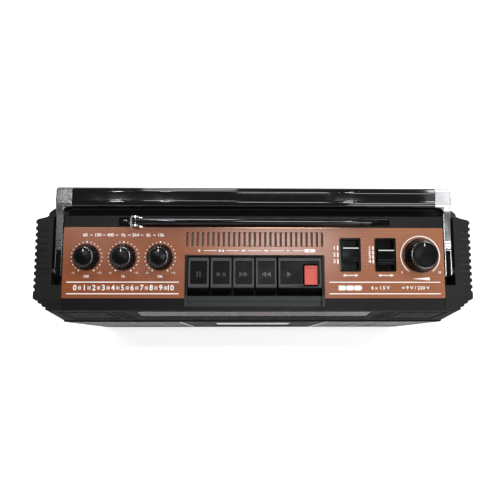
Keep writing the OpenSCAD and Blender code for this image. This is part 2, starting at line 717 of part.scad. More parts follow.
// One plated arm: eye, bar with bright bands, fillet and the corner that caps the grip.
inlay_s = [-47, -22];
module handle_arm() deck() difference() {
  union() {
    translate([arm_x, 0, 0]) rotate([90, 0, 90]) linear_extrude(arm_t) {
      translate([pivot_s, pivot_n]) circle(arm_h / 2);
      polygon([[pivot_s, arm_top - arm_h], [grip_s - grip_d / 2, grip_n - grip_t / 2],
        [grip_s, grip_n - grip_t / 2 + 1], [grip_s, grip_n + grip_t / 2 - 0.2],
        [grip_s - grip_d / 2 - 1, grip_n + grip_t / 2 - 1.4], [grip_s - grip_d / 2 - 8, arm_top],
        [pivot_s, arm_top]]);
    }
    translate([arm_x + arm_t - corner_w, grip_s, grip_n]) rotate([90, 0, 90]) {
      linear_extrude(corner_w - 1) grip_section(3.5);
      linear_extrude(corner_w) round_rect(grip_d - 2, grip_t - 2, 2.8);
    }
    translate([arm_x - fillet_r, grip_s - grip_d / 2 - fillet_r, grip_n - grip_t / 2 + 2])
      difference() {
        cube([fillet_r + 1, fillet_r + 3, grip_t - 4.5]);
        translate([0, 0, -eps]) cylinder(r = fillet_r, h = grip_t);
      }
  }
  translate([arm_x, 0, 0]) {
    block([1, arm_t - 1], inlay_s, [arm_top - 0.8, 9]);
    for (s = [-19.4:2.7:-13]) block([-eps, arm_t + eps], [s, s + 0.9], [arm_top - 0.4, 9]);
  }
  translate([arm_x - eps, pivot_s, pivot_n]) bar_x(pin_r + run, arm_t + 2 * eps);
}
fillet_r = 4;
module left_handle_arm() color(plated) mirror([1, 0, 0]) handle_arm();
module right_handle_arm() color(plated) handle_arm();
module handle_inlays() color(gloss_black) both() deck() translate([arm_x, 0, 0])
  block([1, arm_t - 1], inlay_s, [arm_top - 0.8, arm_top - 0.2]);
module handle_pins() color(steel) both() deck() translate([slot_in - wall, pivot_s, pivot_n])
  bar_x(pin_r, slot_out + slot_wall - slot_in + wall);

// ---- antenna ----
module antenna() deck() translate([antenna_x, antenna_s, antenna_n]) children();
module antenna_base() color(plated) antenna() {
  for (s = [-1, 1]) translate([0, s * (antenna_r + 0.1 + ear_t / 2), 0]) difference() {
    union() {
      rotate([90, 0, 0]) cylinder(r = 4, h = ear_t, center = true);
      translate([-4, -ear_t / 2, -antenna_n - 1.4]) cube([8, ear_t, antenna_n + 1.4]);
    }
  }
  translate([-6, -base_half, -antenna_n - 1.4]) cube([12, 2 * base_half, 1.2]);
  rotate([90, 0, 0]) cylinder(r = 1.5, h = 2 * (antenna_r + 0.1) + ear_t, center = true);
}
module antenna_tube() color(plated) antenna() {
  difference() {
    union() {
      rotate([90, 0, 0]) cylinder(r = antenna_r, h = 2 * antenna_r, center = true);
      bar_x(antenna_r, antenna_end - tip_len - antenna_x);
    }
    rotate([90, 0, 0]) cylinder(r = 1.5 + run, h = 4 * antenna_r, center = true);
    translate([6, 0, 0]) bar_x(middle_r + run, antenna_len);
  }
}
module antenna_middle() color(plated) antenna() difference() {
  translate([8, 0, 0]) bar_x(middle_r, antenna_end - tip_len - antenna_x - 6);
  translate([10, 0, 0]) bar_x(inner_r + run, antenna_len);
}
module antenna_inner() color(plated) antenna() {
  translate([12, 0, 0]) bar_x(inner_r, antenna_end - antenna_x - 14);
  translate([antenna_end - antenna_x - tip_len + 3, 0, 0]) bar_x(antenna_r - 0.5, tip_len - 4);
  translate([antenna_end - antenna_x - 1.4, 0, 0]) bar_x(antenna_r - 1.1, 1.4);
}

// ---- dial ----
scale_z = -9;
module dial_window() color(clear) dial_face() translate([0, dial_at, 0]) {
  translate([0, 0, -wall]) linear_extrude(wall - 0.5) round_rect(window_w - 0.4, window_h - 0.4, 1.8);
  translate([0, 0, -wall - 1]) linear_extrude(1) round_rect(window_w + 4, window_h + 3, 2);
}
module dial_scale() color(copper) dial_face() translate([0, dial_at, 0]) {
  translate([0, 0, scale_z]) linear_extrude(1.2) square([window_w + 8, window_h], center = true);
  for (x = [-1, 1], y = [-1, 1]) translate([x * (window_w / 2 + 3.1), y * 7, scale_z + 1])
    cylinder(r = 0.8, h = -wall - scale_z - 1);
}
// The pointer hooks over the top edge of the scale and runs along it.
module dial_pointer() color(red) dial_face() translate([0, dial_at, 0]) {
  block([-0.6, 0.6], [-window_h / 2 + 1, window_h / 2 + 1.4], [scale_z + 2.8, scale_z + 3.6]);
  block([-3, 3], [window_h / 2 + 0.5, window_h / 2 + 1.5], [scale_z - 1.6, scale_z + 3.6]);
  block([-3, 3], [window_h / 2 - 4, window_h / 2 + 1.5], [scale_z - 1.6, scale_z - 0.6]);
}

// ---- speakers ----
bar_pitch = 4;
module grille() translate([speaker_x, front_y + wall, speaker_z]) rotate([90, 0, 0]) difference() {
  union() {
    linear_extrude(wall - 0.6) round_rect(grille_w, grille_w, 5);
    linear_extrude(wall - 0.1) difference() {
      round_rect(grille_w, grille_w, 5);
      round_rect(grille_w - 5, grille_w - 5, 3);
    }
  }
  for (x = [-1.5:1.5], y = [-(grille_w / 2 - 6):bar_pitch:grille_w / 2 - 6])
    translate([x * (grille_w - 10) / 4 - (grille_w - 18) / 8, y - 0.9, -eps])
      cube([(grille_w - 18) / 4, 1.8, wall + eps]);
}
module left_grille() color(dark_grey) mirror([1, 0, 0]) grille();
module right_grille() color(dark_grey) grille();
module speaker() translate([speaker_x, front_y + wall + baffle_t, speaker_z]) rotate([-90, 0, 0]) {
  rotate_extrude() polygon([[cone_r, 0], [speaker_r, 0], [speaker_r, 1.2], [cone_r + 1, 1.2],
    [cone_r - 6, 12], [28, 22], [28, 24], [14, 24], [14, 22.5], [26.5, 22.5], [26.5, 21.4],
    [cone_r - 7.4, 11.2], [cone_r - 0.6, 0.6]]);
  translate([0, 0, 24]) difference() {
    cylinder(r = 27, h = 13);
    translate([0, 0, -eps]) cylinder(r = 14, h = 9);
  }
  translate([0, 0, 30]) cylinder(r = 9, h = 4);
}
module left_speaker() color(steel) mirror([1, 0, 0]) speaker();
module right_speaker() color(steel) speaker();
// Paper cone with a rolled edge and a dust cap.
module cone() translate([speaker_x, front_y + wall + baffle_t, speaker_z]) rotate([-90, 0, 0]) {
  rotate_extrude() polygon([[cone_r - 0.7, 0.4], [cone_r - 3, -1], [cone_r - 5.4, 0.6], [13, 17],
    [11, 21], [11, 30], [11.6, 30], [11.6, 21.4], [13.6, 17.8], [cone_r - 5.2, 1.6], [cone_r - 3, 0],
    [cone_r - 0.9, 1]]);
  rotate_extrude() polygon([[0, 13.2], [6, 13.8], [12.8, 16.9], [12.8, 17.6], [6, 14.6], [0, 14]]);
}
module left_cone() color(dark_grey) mirror([1, 0, 0]) cone();
module right_cone() color(dark_grey) cone();

// ---- cassette door: hinged along its bottom edge, with the cassette's carrier behind ----
door_win_w = 84;
door_win_h = 42;
door_win_z = hub_z - door_z;
module cassette_door() color(black) translate([0, front_y, door_z]) {
  difference() {
    union() {
      block([-door_w / 2, door_w / 2], [0, 2.4], [barrel_r, door_h]);
      translate([-door_w / 2, barrel_r, barrel_r]) bar_x(barrel_r, door_w);
    }
    translate([0, 1.2, door_win_z]) rotate([-90, 0, 0]) linear_extrude(3)
      round_rect(door_win_w - 4, door_win_h - 4, 3);
    translate([0, -eps, door_win_z]) rotate([-90, 0, 0]) linear_extrude(1.2 + eps)
      round_rect(door_win_w, door_win_h, 4);
    // Finger grooves under the window.
    for (z = [8:4:20]) translate([-door_w / 2 + 14, -0.6, z]) bar_x(1.2, door_w - 28);
  }
  translate([-door_w / 2 - 1.8, barrel_r, barrel_r]) bar_x(door_pin_r, door_w + 3.6);
  guide_x = cassette_w / 2 + 0.5;
  both() difference() {
    block([guide_x - 5, guide_x + 2], [2, carrier_back + 1.4], [cassette_z - door_z - 2, door_h - 8]);
    block([0, guide_x], [0, carrier_back], [cassette_z - door_z, door_h]);
  }
  both() block([34, guide_x + 2], [2, carrier_back + 1.4], [cassette_z - door_z - 2, cassette_z - door_z]);
}
module door_window() color(clear) translate([0, front_y, hub_z]) rotate([-90, 0, 0])
  translate([0, 0, 0.2]) linear_extrude(1) round_rect(door_win_w - 0.4, door_win_h - 0.4, 3.8);

// ---- tape mechanism ----
module tape_deck() color(steel) front() difference() {
  union() {
    block([-door_w / 2 - gap - 3, door_w / 2 + gap + 3], [plate_y, plate_y + plate_t],
      [door_z - 2, door_z + door_h + 1]);
    for (x = [-1, 1]) translate([x * hub_pitch / 2, plate_y, hub_z]) bar_y(5, 3);
    translate([capstan_x, plate_y, capstan_z]) bar_y(4, 4.4);
    // Motor bracket.
    translate([motor_x, plate_y, motor_z]) bar_y(motor_r - 2, plate_t + 1);
    // Posts that locate the cassette.
    for (x = [-1, 1]) translate([x * 31, plate_y - 7, cassette_z + 5]) bar_y(1.5, 8);
  }
  for (x = [-1, 1]) translate([x * hub_pitch / 2, plate_y - eps, hub_z]) bar_y(1.5 + run, 12);
  translate([capstan_x, plate_y - eps, capstan_z]) bar_y(capstan_r + run, 8);
  translate([motor_x, plate_y - eps, motor_z]) bar_y(3, 8);
  // Window that the heads work through.
  block([-15, 15], [plate_y - eps, plate_y + plate_t + eps], [cassette_z - 14, cassette_z + 5]);
}
// A drive spindle: six-splined hub on a plain shaft, with its gear behind the plate.
module spindle() {
  translate([0, plate_y - 8.6, 0]) rotate([-90, 0, 0]) difference() {
    union() {
      cylinder(r = 3.2, h = 8);
      for (a = [0:60:300]) rotate(a) translate([0, -0.6, 2]) cube([4.6, 1.2, 6]);
      translate([0, 0, 7]) cylinder(r = 7, h = 1);
    }
  }
  translate([0, plate_y - 2, 0]) bar_y(1.5, 7);
  translate([0, plate_y + 3.6, 0]) bar_y(9, 1.8);
}
module supply_spindle() color([0.85, 0.85, 0.82]) translate([-hub_pitch / 2, front_y, hub_z]) spindle();
module take_up_spindle() color([0.85, 0.85, 0.82]) translate([hub_pitch / 2, front_y, hub_z]) spindle();
module capstan() color(steel) translate([capstan_x, front_y, capstan_z]) {
  translate([0, plate_y - 9.2, 0]) bar_y(capstan_r, 22);
  translate([0, belt_y - 0.4, 0]) bar_y(4, 8);
  translate([0, belt_y + 0.2, 0]) bar_y(flywheel_r, belt_h - 0.4);
}
roller_r = 5.2;
head_travel = 4;
roller_z = capstan_z - roller_r - capstan_r - head_travel - fit;
module tape_heads() color(steel) front() {
  block([-14, 14], [plate_y - 9, plate_y - 7.6], [cassette_z - 10, cassette_z - 4]);
  block([-12, 12], [plate_y - 7.6, plate_y + 3.4], [cassette_z - 10, cassette_z - 8.4]);
  block([-6.5, 6.5], [plate_y - 12.4, plate_y - 1.4], [cassette_z - 8.4, cassette_z - 0.6]);
  block([8, 12], [plate_y - 12, plate_y - 2], [cassette_z - 8.4, cassette_z - 1]);
  translate([capstan_x, plate_y - 9.8, roller_z]) bar_y(1.2, 8.6);
  block([12, capstan_x + 2], [plate_y - 2.6, plate_y - 1.2], [cassette_z - 10, cassette_z - 1]);
}
module pinch_roller() color(rubber) translate([capstan_x, front_y + plate_y - 9.5, roller_z])
  difference() {
    bar_y(roller_r, 6.6);
    translate([0, -eps, 0]) bar_y(1.2 + run, 9);
  }
module motor() color(plated) translate([motor_x, front_y + plate_y + plate_t + 1, motor_z]) difference() {
  translate([0, belt_h + 7, 0]) union() {
    bar_y(motor_r, 22);
    translate([0, -2, 0]) bar_y(4, 3);
    // Three feet, clear of the belt.
    for (a = [110, 180, 250]) rotate([0, -a - atan2(capstan_z - motor_z, capstan_x - motor_x), 0])
      translate([motor_r - 3, -belt_h - 7, 0]) bar_y(1.6, belt_h + 8);
  }
  bar_y(1 + run, 24);
}
module motor_pulley() color([0.75, 0.6, 0.3]) translate([motor_x, front_y + belt_y - 0.4, motor_z]) {
  bar_y(1, 16);
  translate([0, 0.6, 0]) bar_y(pulley_r, belt_h - 0.4);
}
// Outline of a loop round both pulleys, at a distance out from them.
function belt_loop(out) = let(
  d = [capstan_x - motor_x, capstan_z - motor_z],
  a = atan2(d[1], d[0]),
  b = acos((pulley_r - flywheel_r) / norm(d)))
  concat(
    [for (i = [0:12]) [motor_x, motor_z] + arc_point(pulley_r + out, a + b + i * (180 - b) / 6)],
    [for (i = [0:36]) [capstan_x, capstan_z] + arc_point(flywheel_r + out, a - b + i * b / 18)]);
function arc_point(r, t) = r * [cos(t), sin(t)];
module drive_belt() color(rubber) translate([0, front_y + belt_y + belt_h, 0]) rotate([90, 0, 0])
  linear_extrude(belt_h) difference() {
    polygon(belt_loop(1.1));
    polygon(belt_loop(0.1));
  }

// ---- electrics ----
board_z = lip_z + 13;
module main_board() color([0.15, 0.35, 0.2]) {
  block([-core_half + 22, core_half - 22], [front_y + 20, back_y - 16], [board_z, board_z + 1.6]);
  // Smoothing capacitors, coils and the output amplifier's heat sink.
  for (i = [0:5]) translate([-140 + i * 22, back_y - 34, board_z + 1.6]) cylinder(r = 5, h = 8);
  for (i = [0:3]) translate([40 + i * 14, back_y - 34, board_z + 1.6]) cube([8, 8, 8]);
  translate([-40, back_y - 44, board_z + 1.6]) cube([46, 3, 9]);
}
module transformer() color(steel) translate([-core_half + 17, back_y - 50, foot_h + wall]) {
  difference() {
    cube([46, 32, 38]);
    for (y = [-eps, 23]) translate([10, y, 7]) cube([26, 9 + eps, 24]);
  }
  for (y = [1, 23]) translate([11, y, 8]) cube([24, 8, 22]);
}
module battery_door() color(black) difference() {
  union() {
    block([-bay_half - 3 + fit, bay_half + 3 - fit], [back_y - 1.6, back_y],
      [bay_z - 1.4 + fit, bay_z + bay_h + 3 - fit]);
    block([-bay_half + fit, bay_half - fit], [back_y - 3, back_y - 1.6],
      [bay_z + fit, bay_z + bay_h - fit]);
  }
  // Grip ribs beside the catch.
  for (i = [0:4]) translate([-18, back_y + 0.4, bay_z + bay_h - 12 + 2.4 * i]) bar_x(0.9, 36);
}
module battery_contacts() color(plated) for (x = [-1, 1], i = [0, 1])
  translate([x * (bay_half - 0.4), bay_y + cell_d / 2 + 1, bay_z + cell_d * (i + 0.5) + 1]) {
    cube([0.8, 24, 24], center = true);
    translate([-x * 0.4, 0, 0]) rotate([0, -90 * x, 0]) cylinder(r1 = 8, r2 = 5, h = 3.4);
  }
module ac_inlet() color(black) translate([inlet_x, back_y, inlet_z]) rotate([90, 0, 0]) difference() {
  union() {
    linear_extrude(16) round_rect(inlet_w - 0.4, inlet_h - 0.4, 2.8);
    translate([0, 0, wall]) linear_extrude(2) round_rect(inlet_w + 6, inlet_h + 4, 2);
  }
  translate([0, 0, -eps]) linear_extrude(13 + eps) for (x = [-1, 1])
    translate([x * 4.3, 0]) difference() {
      circle(4.6);
      circle(1.2);
    }
}
module phones_jack() color(plated) translate([jack_x, back_y - 16, jack_z]) difference() {
  union() {
    bar_y(jack_r, 16);
    bar_y(6, 16 - wall);
  }
  translate([0, 2, 0]) bar_y(1.8, 16);
}
foot_r = 9;
module feet() color(rubber) for (x = [-1, 1], y = [front_y + 17, back_y - 17])
  translate([x * (core_half - 22), y, 0]) {
    cylinder(r = foot_r - 0.6, h = 1);
    translate([0, 0, 0.6]) cylinder(r = foot_r, h = foot_h - 0.6);
  }
module cabinet_screws() color(steel) for (p = screw_at) translate([p[0], back_y - screw_seat, p[1]]) {
  difference() {
    bar_y(head_r, 2.4);
    for (a = [0, 90]) rotate([0, a, 0]) translate([-2, 1.2, -0.4]) cube([4, 3, 0.8]);
  }
  rotate([90, 0, 0]) cylinder(r = screw_r, h = back_y - screw_seat - split_y + 14);
}

front_cabinet();
rear_cabinet();
top_deck();
left_cheek();
right_cheek();
control_panel();
key_frame();
pause_key();
stop_eject_key();
fast_forward_key();
rewind_key();
play_key();
record_key();
key_axle();
bass_knob();
middle_knob();
treble_knob();
volume_knob();
tuning_knob();
tone_controls();
switch_bezels();
function_slider();
band_slider();
handle_grip();
left_handle_arm();
right_handle_arm();
handle_inlays();
handle_pins();
antenna_base();
antenna_tube();
antenna_middle();
antenna_inner();
dial_window();
dial_scale();
dial_pointer();
left_grille();
right_grille();
left_speaker();
right_speaker();
left_cone();
right_cone();
cassette_door();
door_window();
tape_deck();
supply_spindle();
take_up_spindle();
capstan();
pinch_roller();
tape_heads();
motor();
motor_pulley();
drive_belt();
main_board();
transformer();
battery_door();
battery_contacts();
ac_inlet();
phones_jack();
feet();
cabinet_screws();
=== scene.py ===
"""Portable stereo radio cassette recorder: its finishes and fine pieces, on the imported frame."""

import json
import logging
import math
from dataclasses import dataclass, replace
from enum import Enum
from typing import Callable, Sequence

import bmesh
import bpy
from mathutils import Euler, Matrix, Vector
from mathutils.bvhtree import BVHTree

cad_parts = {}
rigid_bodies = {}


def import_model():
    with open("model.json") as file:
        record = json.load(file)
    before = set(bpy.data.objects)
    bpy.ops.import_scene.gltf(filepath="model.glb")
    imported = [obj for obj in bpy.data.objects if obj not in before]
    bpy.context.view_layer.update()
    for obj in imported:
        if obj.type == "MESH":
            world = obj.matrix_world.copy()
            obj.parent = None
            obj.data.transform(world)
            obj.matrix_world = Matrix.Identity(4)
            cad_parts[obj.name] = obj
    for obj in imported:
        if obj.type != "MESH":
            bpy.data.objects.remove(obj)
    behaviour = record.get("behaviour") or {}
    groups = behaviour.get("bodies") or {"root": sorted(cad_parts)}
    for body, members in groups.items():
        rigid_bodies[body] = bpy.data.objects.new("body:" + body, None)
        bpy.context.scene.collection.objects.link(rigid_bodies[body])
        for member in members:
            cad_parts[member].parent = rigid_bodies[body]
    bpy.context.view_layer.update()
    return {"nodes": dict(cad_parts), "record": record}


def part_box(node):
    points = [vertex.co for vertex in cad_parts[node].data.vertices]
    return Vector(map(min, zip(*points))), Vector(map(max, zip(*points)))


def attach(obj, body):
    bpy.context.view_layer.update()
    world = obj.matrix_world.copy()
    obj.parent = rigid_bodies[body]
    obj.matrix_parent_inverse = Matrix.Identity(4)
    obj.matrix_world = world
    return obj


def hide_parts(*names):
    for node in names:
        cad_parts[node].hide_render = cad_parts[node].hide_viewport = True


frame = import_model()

logging.basicConfig(level=logging.INFO, format="%(name)s: %(message)s")
LOG = logging.getLogger("recorder")

Point = tuple[float, float, float]
Flat = tuple[float, float]
Colour = tuple[float, float, float]
Level = tuple[Vector, float]
Socket = bpy.types.NodeSocket
Inputs = dict[str | int, object]

MM = 0.001
ORIGIN: Point = (0.0, 0.0, 0.0)
UP: Point = (0.0, 0.0, 1.0)
FRONT: Point = (0.0, -1.0, 0.0)
REAR: Point = (0.0, 1.0, 0.0)
DECK_FACING: Point = (0.0, -0.16, 0.99)
DIAL_FACING: Point = (0.0, -0.98, 0.19)


# --------------- patterns


class Shader:
    """A material's node tree, built up one pattern at a time."""

    def __init__(self, name: str) -> None:
        """Start a material with one Principled shader, reading object coordinates."""
        self.material = bpy.data.materials.new(name)
        self.material.use_nodes = True
        self.tree = self.material.node_tree
        self.surface = self.tree.nodes["Principled BSDF"]
        self.place = self.node("ShaderNodeTexCoord", "Object", {})

    def node(self, kind: str, output: str | int, inputs: Inputs, **settings: object) -> Socket:
        """Add a node.

        Args:
            kind: the node's type.
            output: which of its outputs is wanted.
            inputs: what each input gets, a socket or a constant.
            settings: its properties.

        Returns:
            The wanted output.
        """
        node = self.tree.nodes.new(kind)
        for key, value in settings.items():
            setattr(node, key, value)
        self.feed(node, inputs)
        return node.outputs[output]

    def feed(self, node: bpy.types.Node, inputs: Inputs) -> None:
        """Link sockets to a node's inputs, or set the inputs to constants.

        Args:
            node: the node.
            inputs: what each input gets, a socket or a constant.
        """
        for key, value in inputs.items():
            socket = node.inputs[key]
            if isinstance(value, Socket):
                self.tree.links.new(value, socket)
            else:
                socket.default_value = (*value, 1.0) if socket.type == "RGBA" else value

    def lay(self, inputs: Inputs) -> None:
        """Feed the Principled shader itself."""
        self.feed(self.surface, inputs)

    def stretched(self, scale: Point) -> Socket:
        """Object coordinates, stretched so that a pattern repeats that often along each axis."""
        return self.node("ShaderNodeMapping", "Vector", {"Vector": self.place, "Scale": scale})

    def along(self, axis: str) -> Socket:
        """One of the object coordinates, in metres."""
        return self.node("ShaderNodeSeparateXYZ", axis, {"Vector": self.place})

    def noise(self, at: Socket, scale: float, detail: float = 3.0) -> Socket:
        """Soft noise from 0 to 1, with so many features per metre and finer layers."""
        return self.node("ShaderNodeTexNoise", "Fac", {"Vector": at, "Scale": scale, "Detail": detail})

    def cells(self, at: Socket, scale: float) -> Socket:
        """Distance to the nearest of many scattered points, for pits and fibres."""
        return self.node("ShaderNodeTexVoronoi", "Distance", {"Vector": at, "Scale": scale})

    def spread(self, value: Socket, low: float, high: float, start: float = 0.3, stop: float = 0.7) -> Socket:
        """Rescale a value, so that start gives low and stop gives high."""
        return self.node("ShaderNodeMapRange", "Result", {
            "Value": value, "From Min": start, "From Max": stop, "To Min": low, "To Max": high})

    def tint(self, value: Socket, low: Colour, high: Colour, start: float = 0.3, stop: float = 0.7,
             middle: tuple[float, Colour] | None = None) -> Socket:
        """Colours along a ramp.

        Args:
            value: where on the ramp to read, from 0 to 1.
            low: the colour up to start.
            high: the colour from stop on.
            start: the place of low.
            stop: the place of high.
            middle: a place between them with a colour of its own.

        Returns:
            The colour.
        """
        node = self.tree.nodes.new("ShaderNodeValToRGB")
        self.feed(node, {"Fac": value})
        stops = [(start, low), *([middle] if middle else []), (stop, high)]
        ramp = node.color_ramp
        while len(ramp.elements) < len(stops):
            ramp.elements.new(0.5)
        for element, (place, colour) in zip(ramp.elements, stops):
            element.position = place
            element.color = (*colour, 1.0)
        return node.outputs["Color"]

    def times(self, one: Socket, other: Socket) -> Socket:
        """Multiply two colours."""
        return self.node("ShaderNodeMix", "Result", {"Factor": 1.0, "A": one, "B": other},
                         data_type="RGBA", blend_type="MULTIPLY")

    def plus(self, one: Socket, other: Socket) -> Socket:
        """Add two values."""
        return self.node("ShaderNodeMath", 0, {0: one, 1: other}, operation="ADD")

    def relief(self, height: Socket, depth: float) -> None:
        """Raise the surface by a pattern from 0 to 1, so many metres high."""
        self.lay({"Normal": self.node("ShaderNodeBump", "Normal", {"Distance": depth, "Height": height})})


def grey(level: float) -> Colour:
    """A colour without a hue."""
    return level, level, level


def shade(colour: Colour, share: float) -> Colour:
    """A colour made darker or lighter by a share."""
    return tuple(min(1.0, part * share) for part in colour)


WHITE = grey(1.0)


# --------------- finishes


@dataclass(frozen=True)
class Finish:
    """What a surface is made of, and how even it is."""

    name: str
    slot: str
    colour: Colour
    roughness: float = 0.4
    metallic: float = 0.0
    coat: float = 0.0
    coat_roughness: float = 0.08
    mottle: float = 0.10
    mottle_scale: float = 60.0
    smears: float = 0.06
    smear_share: float = 1.7
    specular: float = 0.5

    def material(self) -> bpy.types.Material:
        """The finish's material, made the first time it is asked for."""
        known = bpy.data.materials.get(self.name)
        if known:
            return known
        shader = Shader(self.name)
        shader.lay({"Metallic": self.metallic, "Coat Weight": self.coat,
                    "Coat Roughness": self.coat_roughness, "Specular IOR Level": self.specular})
        self.pattern(shader)
        return shader.material

    def pattern(self, shader: Shader) -> None:
        """Lay the colour's mottling and the gloss's smears."""
        shader.lay({"Base Color": self.ground(shader)})
        self.smear(shader)

    def ground(self, shader: Shader) -> Socket:
        """The colour, mottled."""
        cloud = shader.noise(shader.place, self.mottle_scale)
        return shader.tint(cloud, shade(self.colour, 1 - self.mottle), shade(self.colour, 1 + self.mottle))

    def smear(self, shader: Shader) -> None:
        """Vary the gloss as handling does, in clouds finer than the colour's."""
        cloud = shader.noise(shader.place, self.mottle_scale * self.smear_share, 5.0)
        low, high = max(0.02, self.roughness - self.smears), min(1.0, self.roughness + self.smears)
        shader.lay({"Roughness": shader.spread(cloud, low, high)})


@dataclass(frozen=True)
class Moulded(Finish):
    """Plastic from a mould with a fine etched grain."""

    grain: float = 0.00003
    grain_scale: float = 2600.0

    def pattern(self, shader: Shader) -> None:
        """Add the etched grain to the mottling."""
        super().pattern(shader)
        shader.relief(shader.noise(shader.place, self.grain_scale, 2.0), self.grain)


@dataclass(frozen=True)
class TwoTone(Moulded):
    """Moulded plastic that has a second tone beyond a level.

    The measure gives the direction and the level, in metres, once the frame is there.
    """

    measure: Callable[[], Level] | None = None
    beyond: Colour = WHITE
    blend: float = 0.00008

    def ground(self, shader: Shader) -> Socket:
        """Both tones, mottled alike."""
        facing, level = self.measure()
        reach = shader.node("ShaderNodeVectorMath", "Value", {0: shader.place, 1: facing},
                            operation="DOT_PRODUCT")
        past = shader.spread(reach, 0.0, 1.0, level - self.blend, level + self.blend)
        cloud = shader.tint(shader.noise(shader.place, self.mottle_scale), grey(1 - self.mottle), WHITE)
        return shader.times(shader.tint(past, self.colour, self.beyond, 0.0, 1.0), cloud)


@dataclass(frozen=True)
class Brushed(Finish):
    """Metal brushed lengthways, along X, optionally with a painted reflection: a colour that changes from one
    end to the other.
    """

    streak_scale: Point = (6.0, 900.0, 900.0)
    streak: float = 0.18
    streak_depth: float = 0.00001
    drawn: float = 0.6
    ends: tuple[Colour, Colour] | None = None
    half_length: float = 0.19
    middle: float = 0.55

    def pattern(self, shader: Shader) -> None:
        """Lay long streaks over the colour, with the painted reflection along the length where one is given.
        """
        streaks = shader.noise(shader.stretched(self.streak_scale), 1.0, 4.0)
        along = shader.spread(shader.along("X"), 0.0, 1.0, -self.half_length, self.half_length)
        left, right = self.ends or (self.colour, self.colour)
        tone = shader.tint(along, left, right, 0.0, 1.0, (self.middle, self.colour))
        shader.lay({
            "Base Color": shader.times(tone, shader.tint(streaks, grey(1 - self.streak), WHITE)),
            "Roughness": shader.spread(streaks, self.roughness + self.smears, self.roughness - self.smears),
            "Anisotropic": self.drawn})
        shader.relief(streaks, self.streak_depth)


@dataclass(frozen=True)
class Clear(Finish):
    """Tinted clear plastic."""

    bend: float = 1.2

    def pattern(self, shader: Shader) -> None:
        """Let light through, with faint smears in the gloss."""
        shader.lay({"Base Color": self.colour, "Transmission Weight": 1.0, "IOR": self.bend})
        self.smear(shader)


@dataclass(frozen=True)
class Pressed(Finish):
    """Pressed paper, felt or rubber: matt, with a fibrous face."""

    fibre: float = 0.00008
    fibre_scale: float = 900.0
    hair_share: float = 0.6

    def pattern(self, shader: Shader) -> None:
        """Add the fibres to the mottling."""
        super().pattern(shader)
        pits = shader.cells(shader.place, self.fibre_scale)
        hairs = shader.noise(shader.place, self.fibre_scale * self.hair_share, 4.0)
        shader.relief(shader.plus(pits, hairs), self.fibre)


@dataclass(frozen=True)
class Stacked(Finish):
    """Varnished iron sheets, stacked in height."""

    sheet: float = 0.0007
    wave: float = 0.314
    waver: float = 0.4
    groove: float = 0.0001

    def pattern(self, shader: Shader) -> None:
        """Show the edge of each sheet."""
        super().pattern(shader)
        waves = shader.node("ShaderNodeTexWave", "Fac", {
            "Vector": shader.place, "Scale": self.wave / self.sheet, "Distortion": self.waver},
            bands_direction="Z")
        shader.relief(waves, self.groove)


@dataclass(frozen=True)
class Etched(Finish):
    """A printed board: tracks under a varnish."""

    tracks: float = 90.0
    track_width: float = 0.09
    alternate: float = 0.8
    track_tone: float = 1.7

    def pattern(self, shader: Shader) -> None:
        """Lay tracks in a second colour over the board's own."""
        fields = shader.node("ShaderNodeTexBrick", "Color", {
            "Vector": shader.stretched(grey(self.tracks)), "Color1": self.colour,
            "Color2": shade(self.colour, self.alternate),
            "Mortar": shade(self.colour, self.track_tone), "Scale": 1.0, "Mortar Size": self.track_width})
        shader.lay({"Base Color": fields})
        self.smear(shader)


@dataclass(frozen=True)
class Worn(Finish):
    """Bright plating that has gone dull in specks, with painted shade that darkens it towards the front."""

    speck_scale: float = 700.0
    speck_depth: float = 0.00003
    dull: float = 0.45
    dull_range: Flat = (0.4, 0.62)
    worn: float = 0.4
    worn_range: Flat = (0.42, 0.60)
    fade: Flat = (-0.020, 0.035)
    faded: float = 0.3

    def pattern(self, shader: Shader) -> None:
        """Scatter dull specks over the bright metal, and paint shade over its front part."""
        specks = shader.noise(shader.place, self.speck_scale, 5.0)
        tone = shader.tint(specks, shade(self.colour, self.worn), self.colour, *self.worn_range)
        # Painted shade: towards the front, the plating falls to a share of its colour.
        back = shader.spread(shader.along("Y"), 0.0, 1.0, *self.fade)
        shader.lay({"Base Color": shader.times(tone, shader.tint(back, grey(self.faded), WHITE, 0.0, 1.0)),
                    "Roughness": shader.spread(specks, self.dull, self.roughness, *self.dull_range)})
        shader.relief(specks, self.speck_depth)


RIM_UP = 0.8
LEVER_DOWN = 1.6
SILL_ON = 0.6


def dish_level() -> Level:
    """The way that the keys' dishes face, and a level part of the way up their rims, above which the rims
    bear their painted highlight.
    """
    dish = Plane.on("pause_key", DECK.normal)
    return dish.normal, dish.origin.dot(dish.normal) + RIM_UP * MM


def lever_level() -> Level:
    """The way up from the deck, and where the record key's black lever ends."""
    top = Span.of("record_key").high.z
    return DECK.normal, DECK.origin.dot(DECK.normal) + (top - LEVER_DOWN) * MM


def sill_level() -> Level:
    """The way to the front, and where the sill in front of the keys starts."""
    front = -DECK.along
    return front, DECK.origin.dot(front) + (SILL_ON - Span.of("pause_key").low.y) * MM


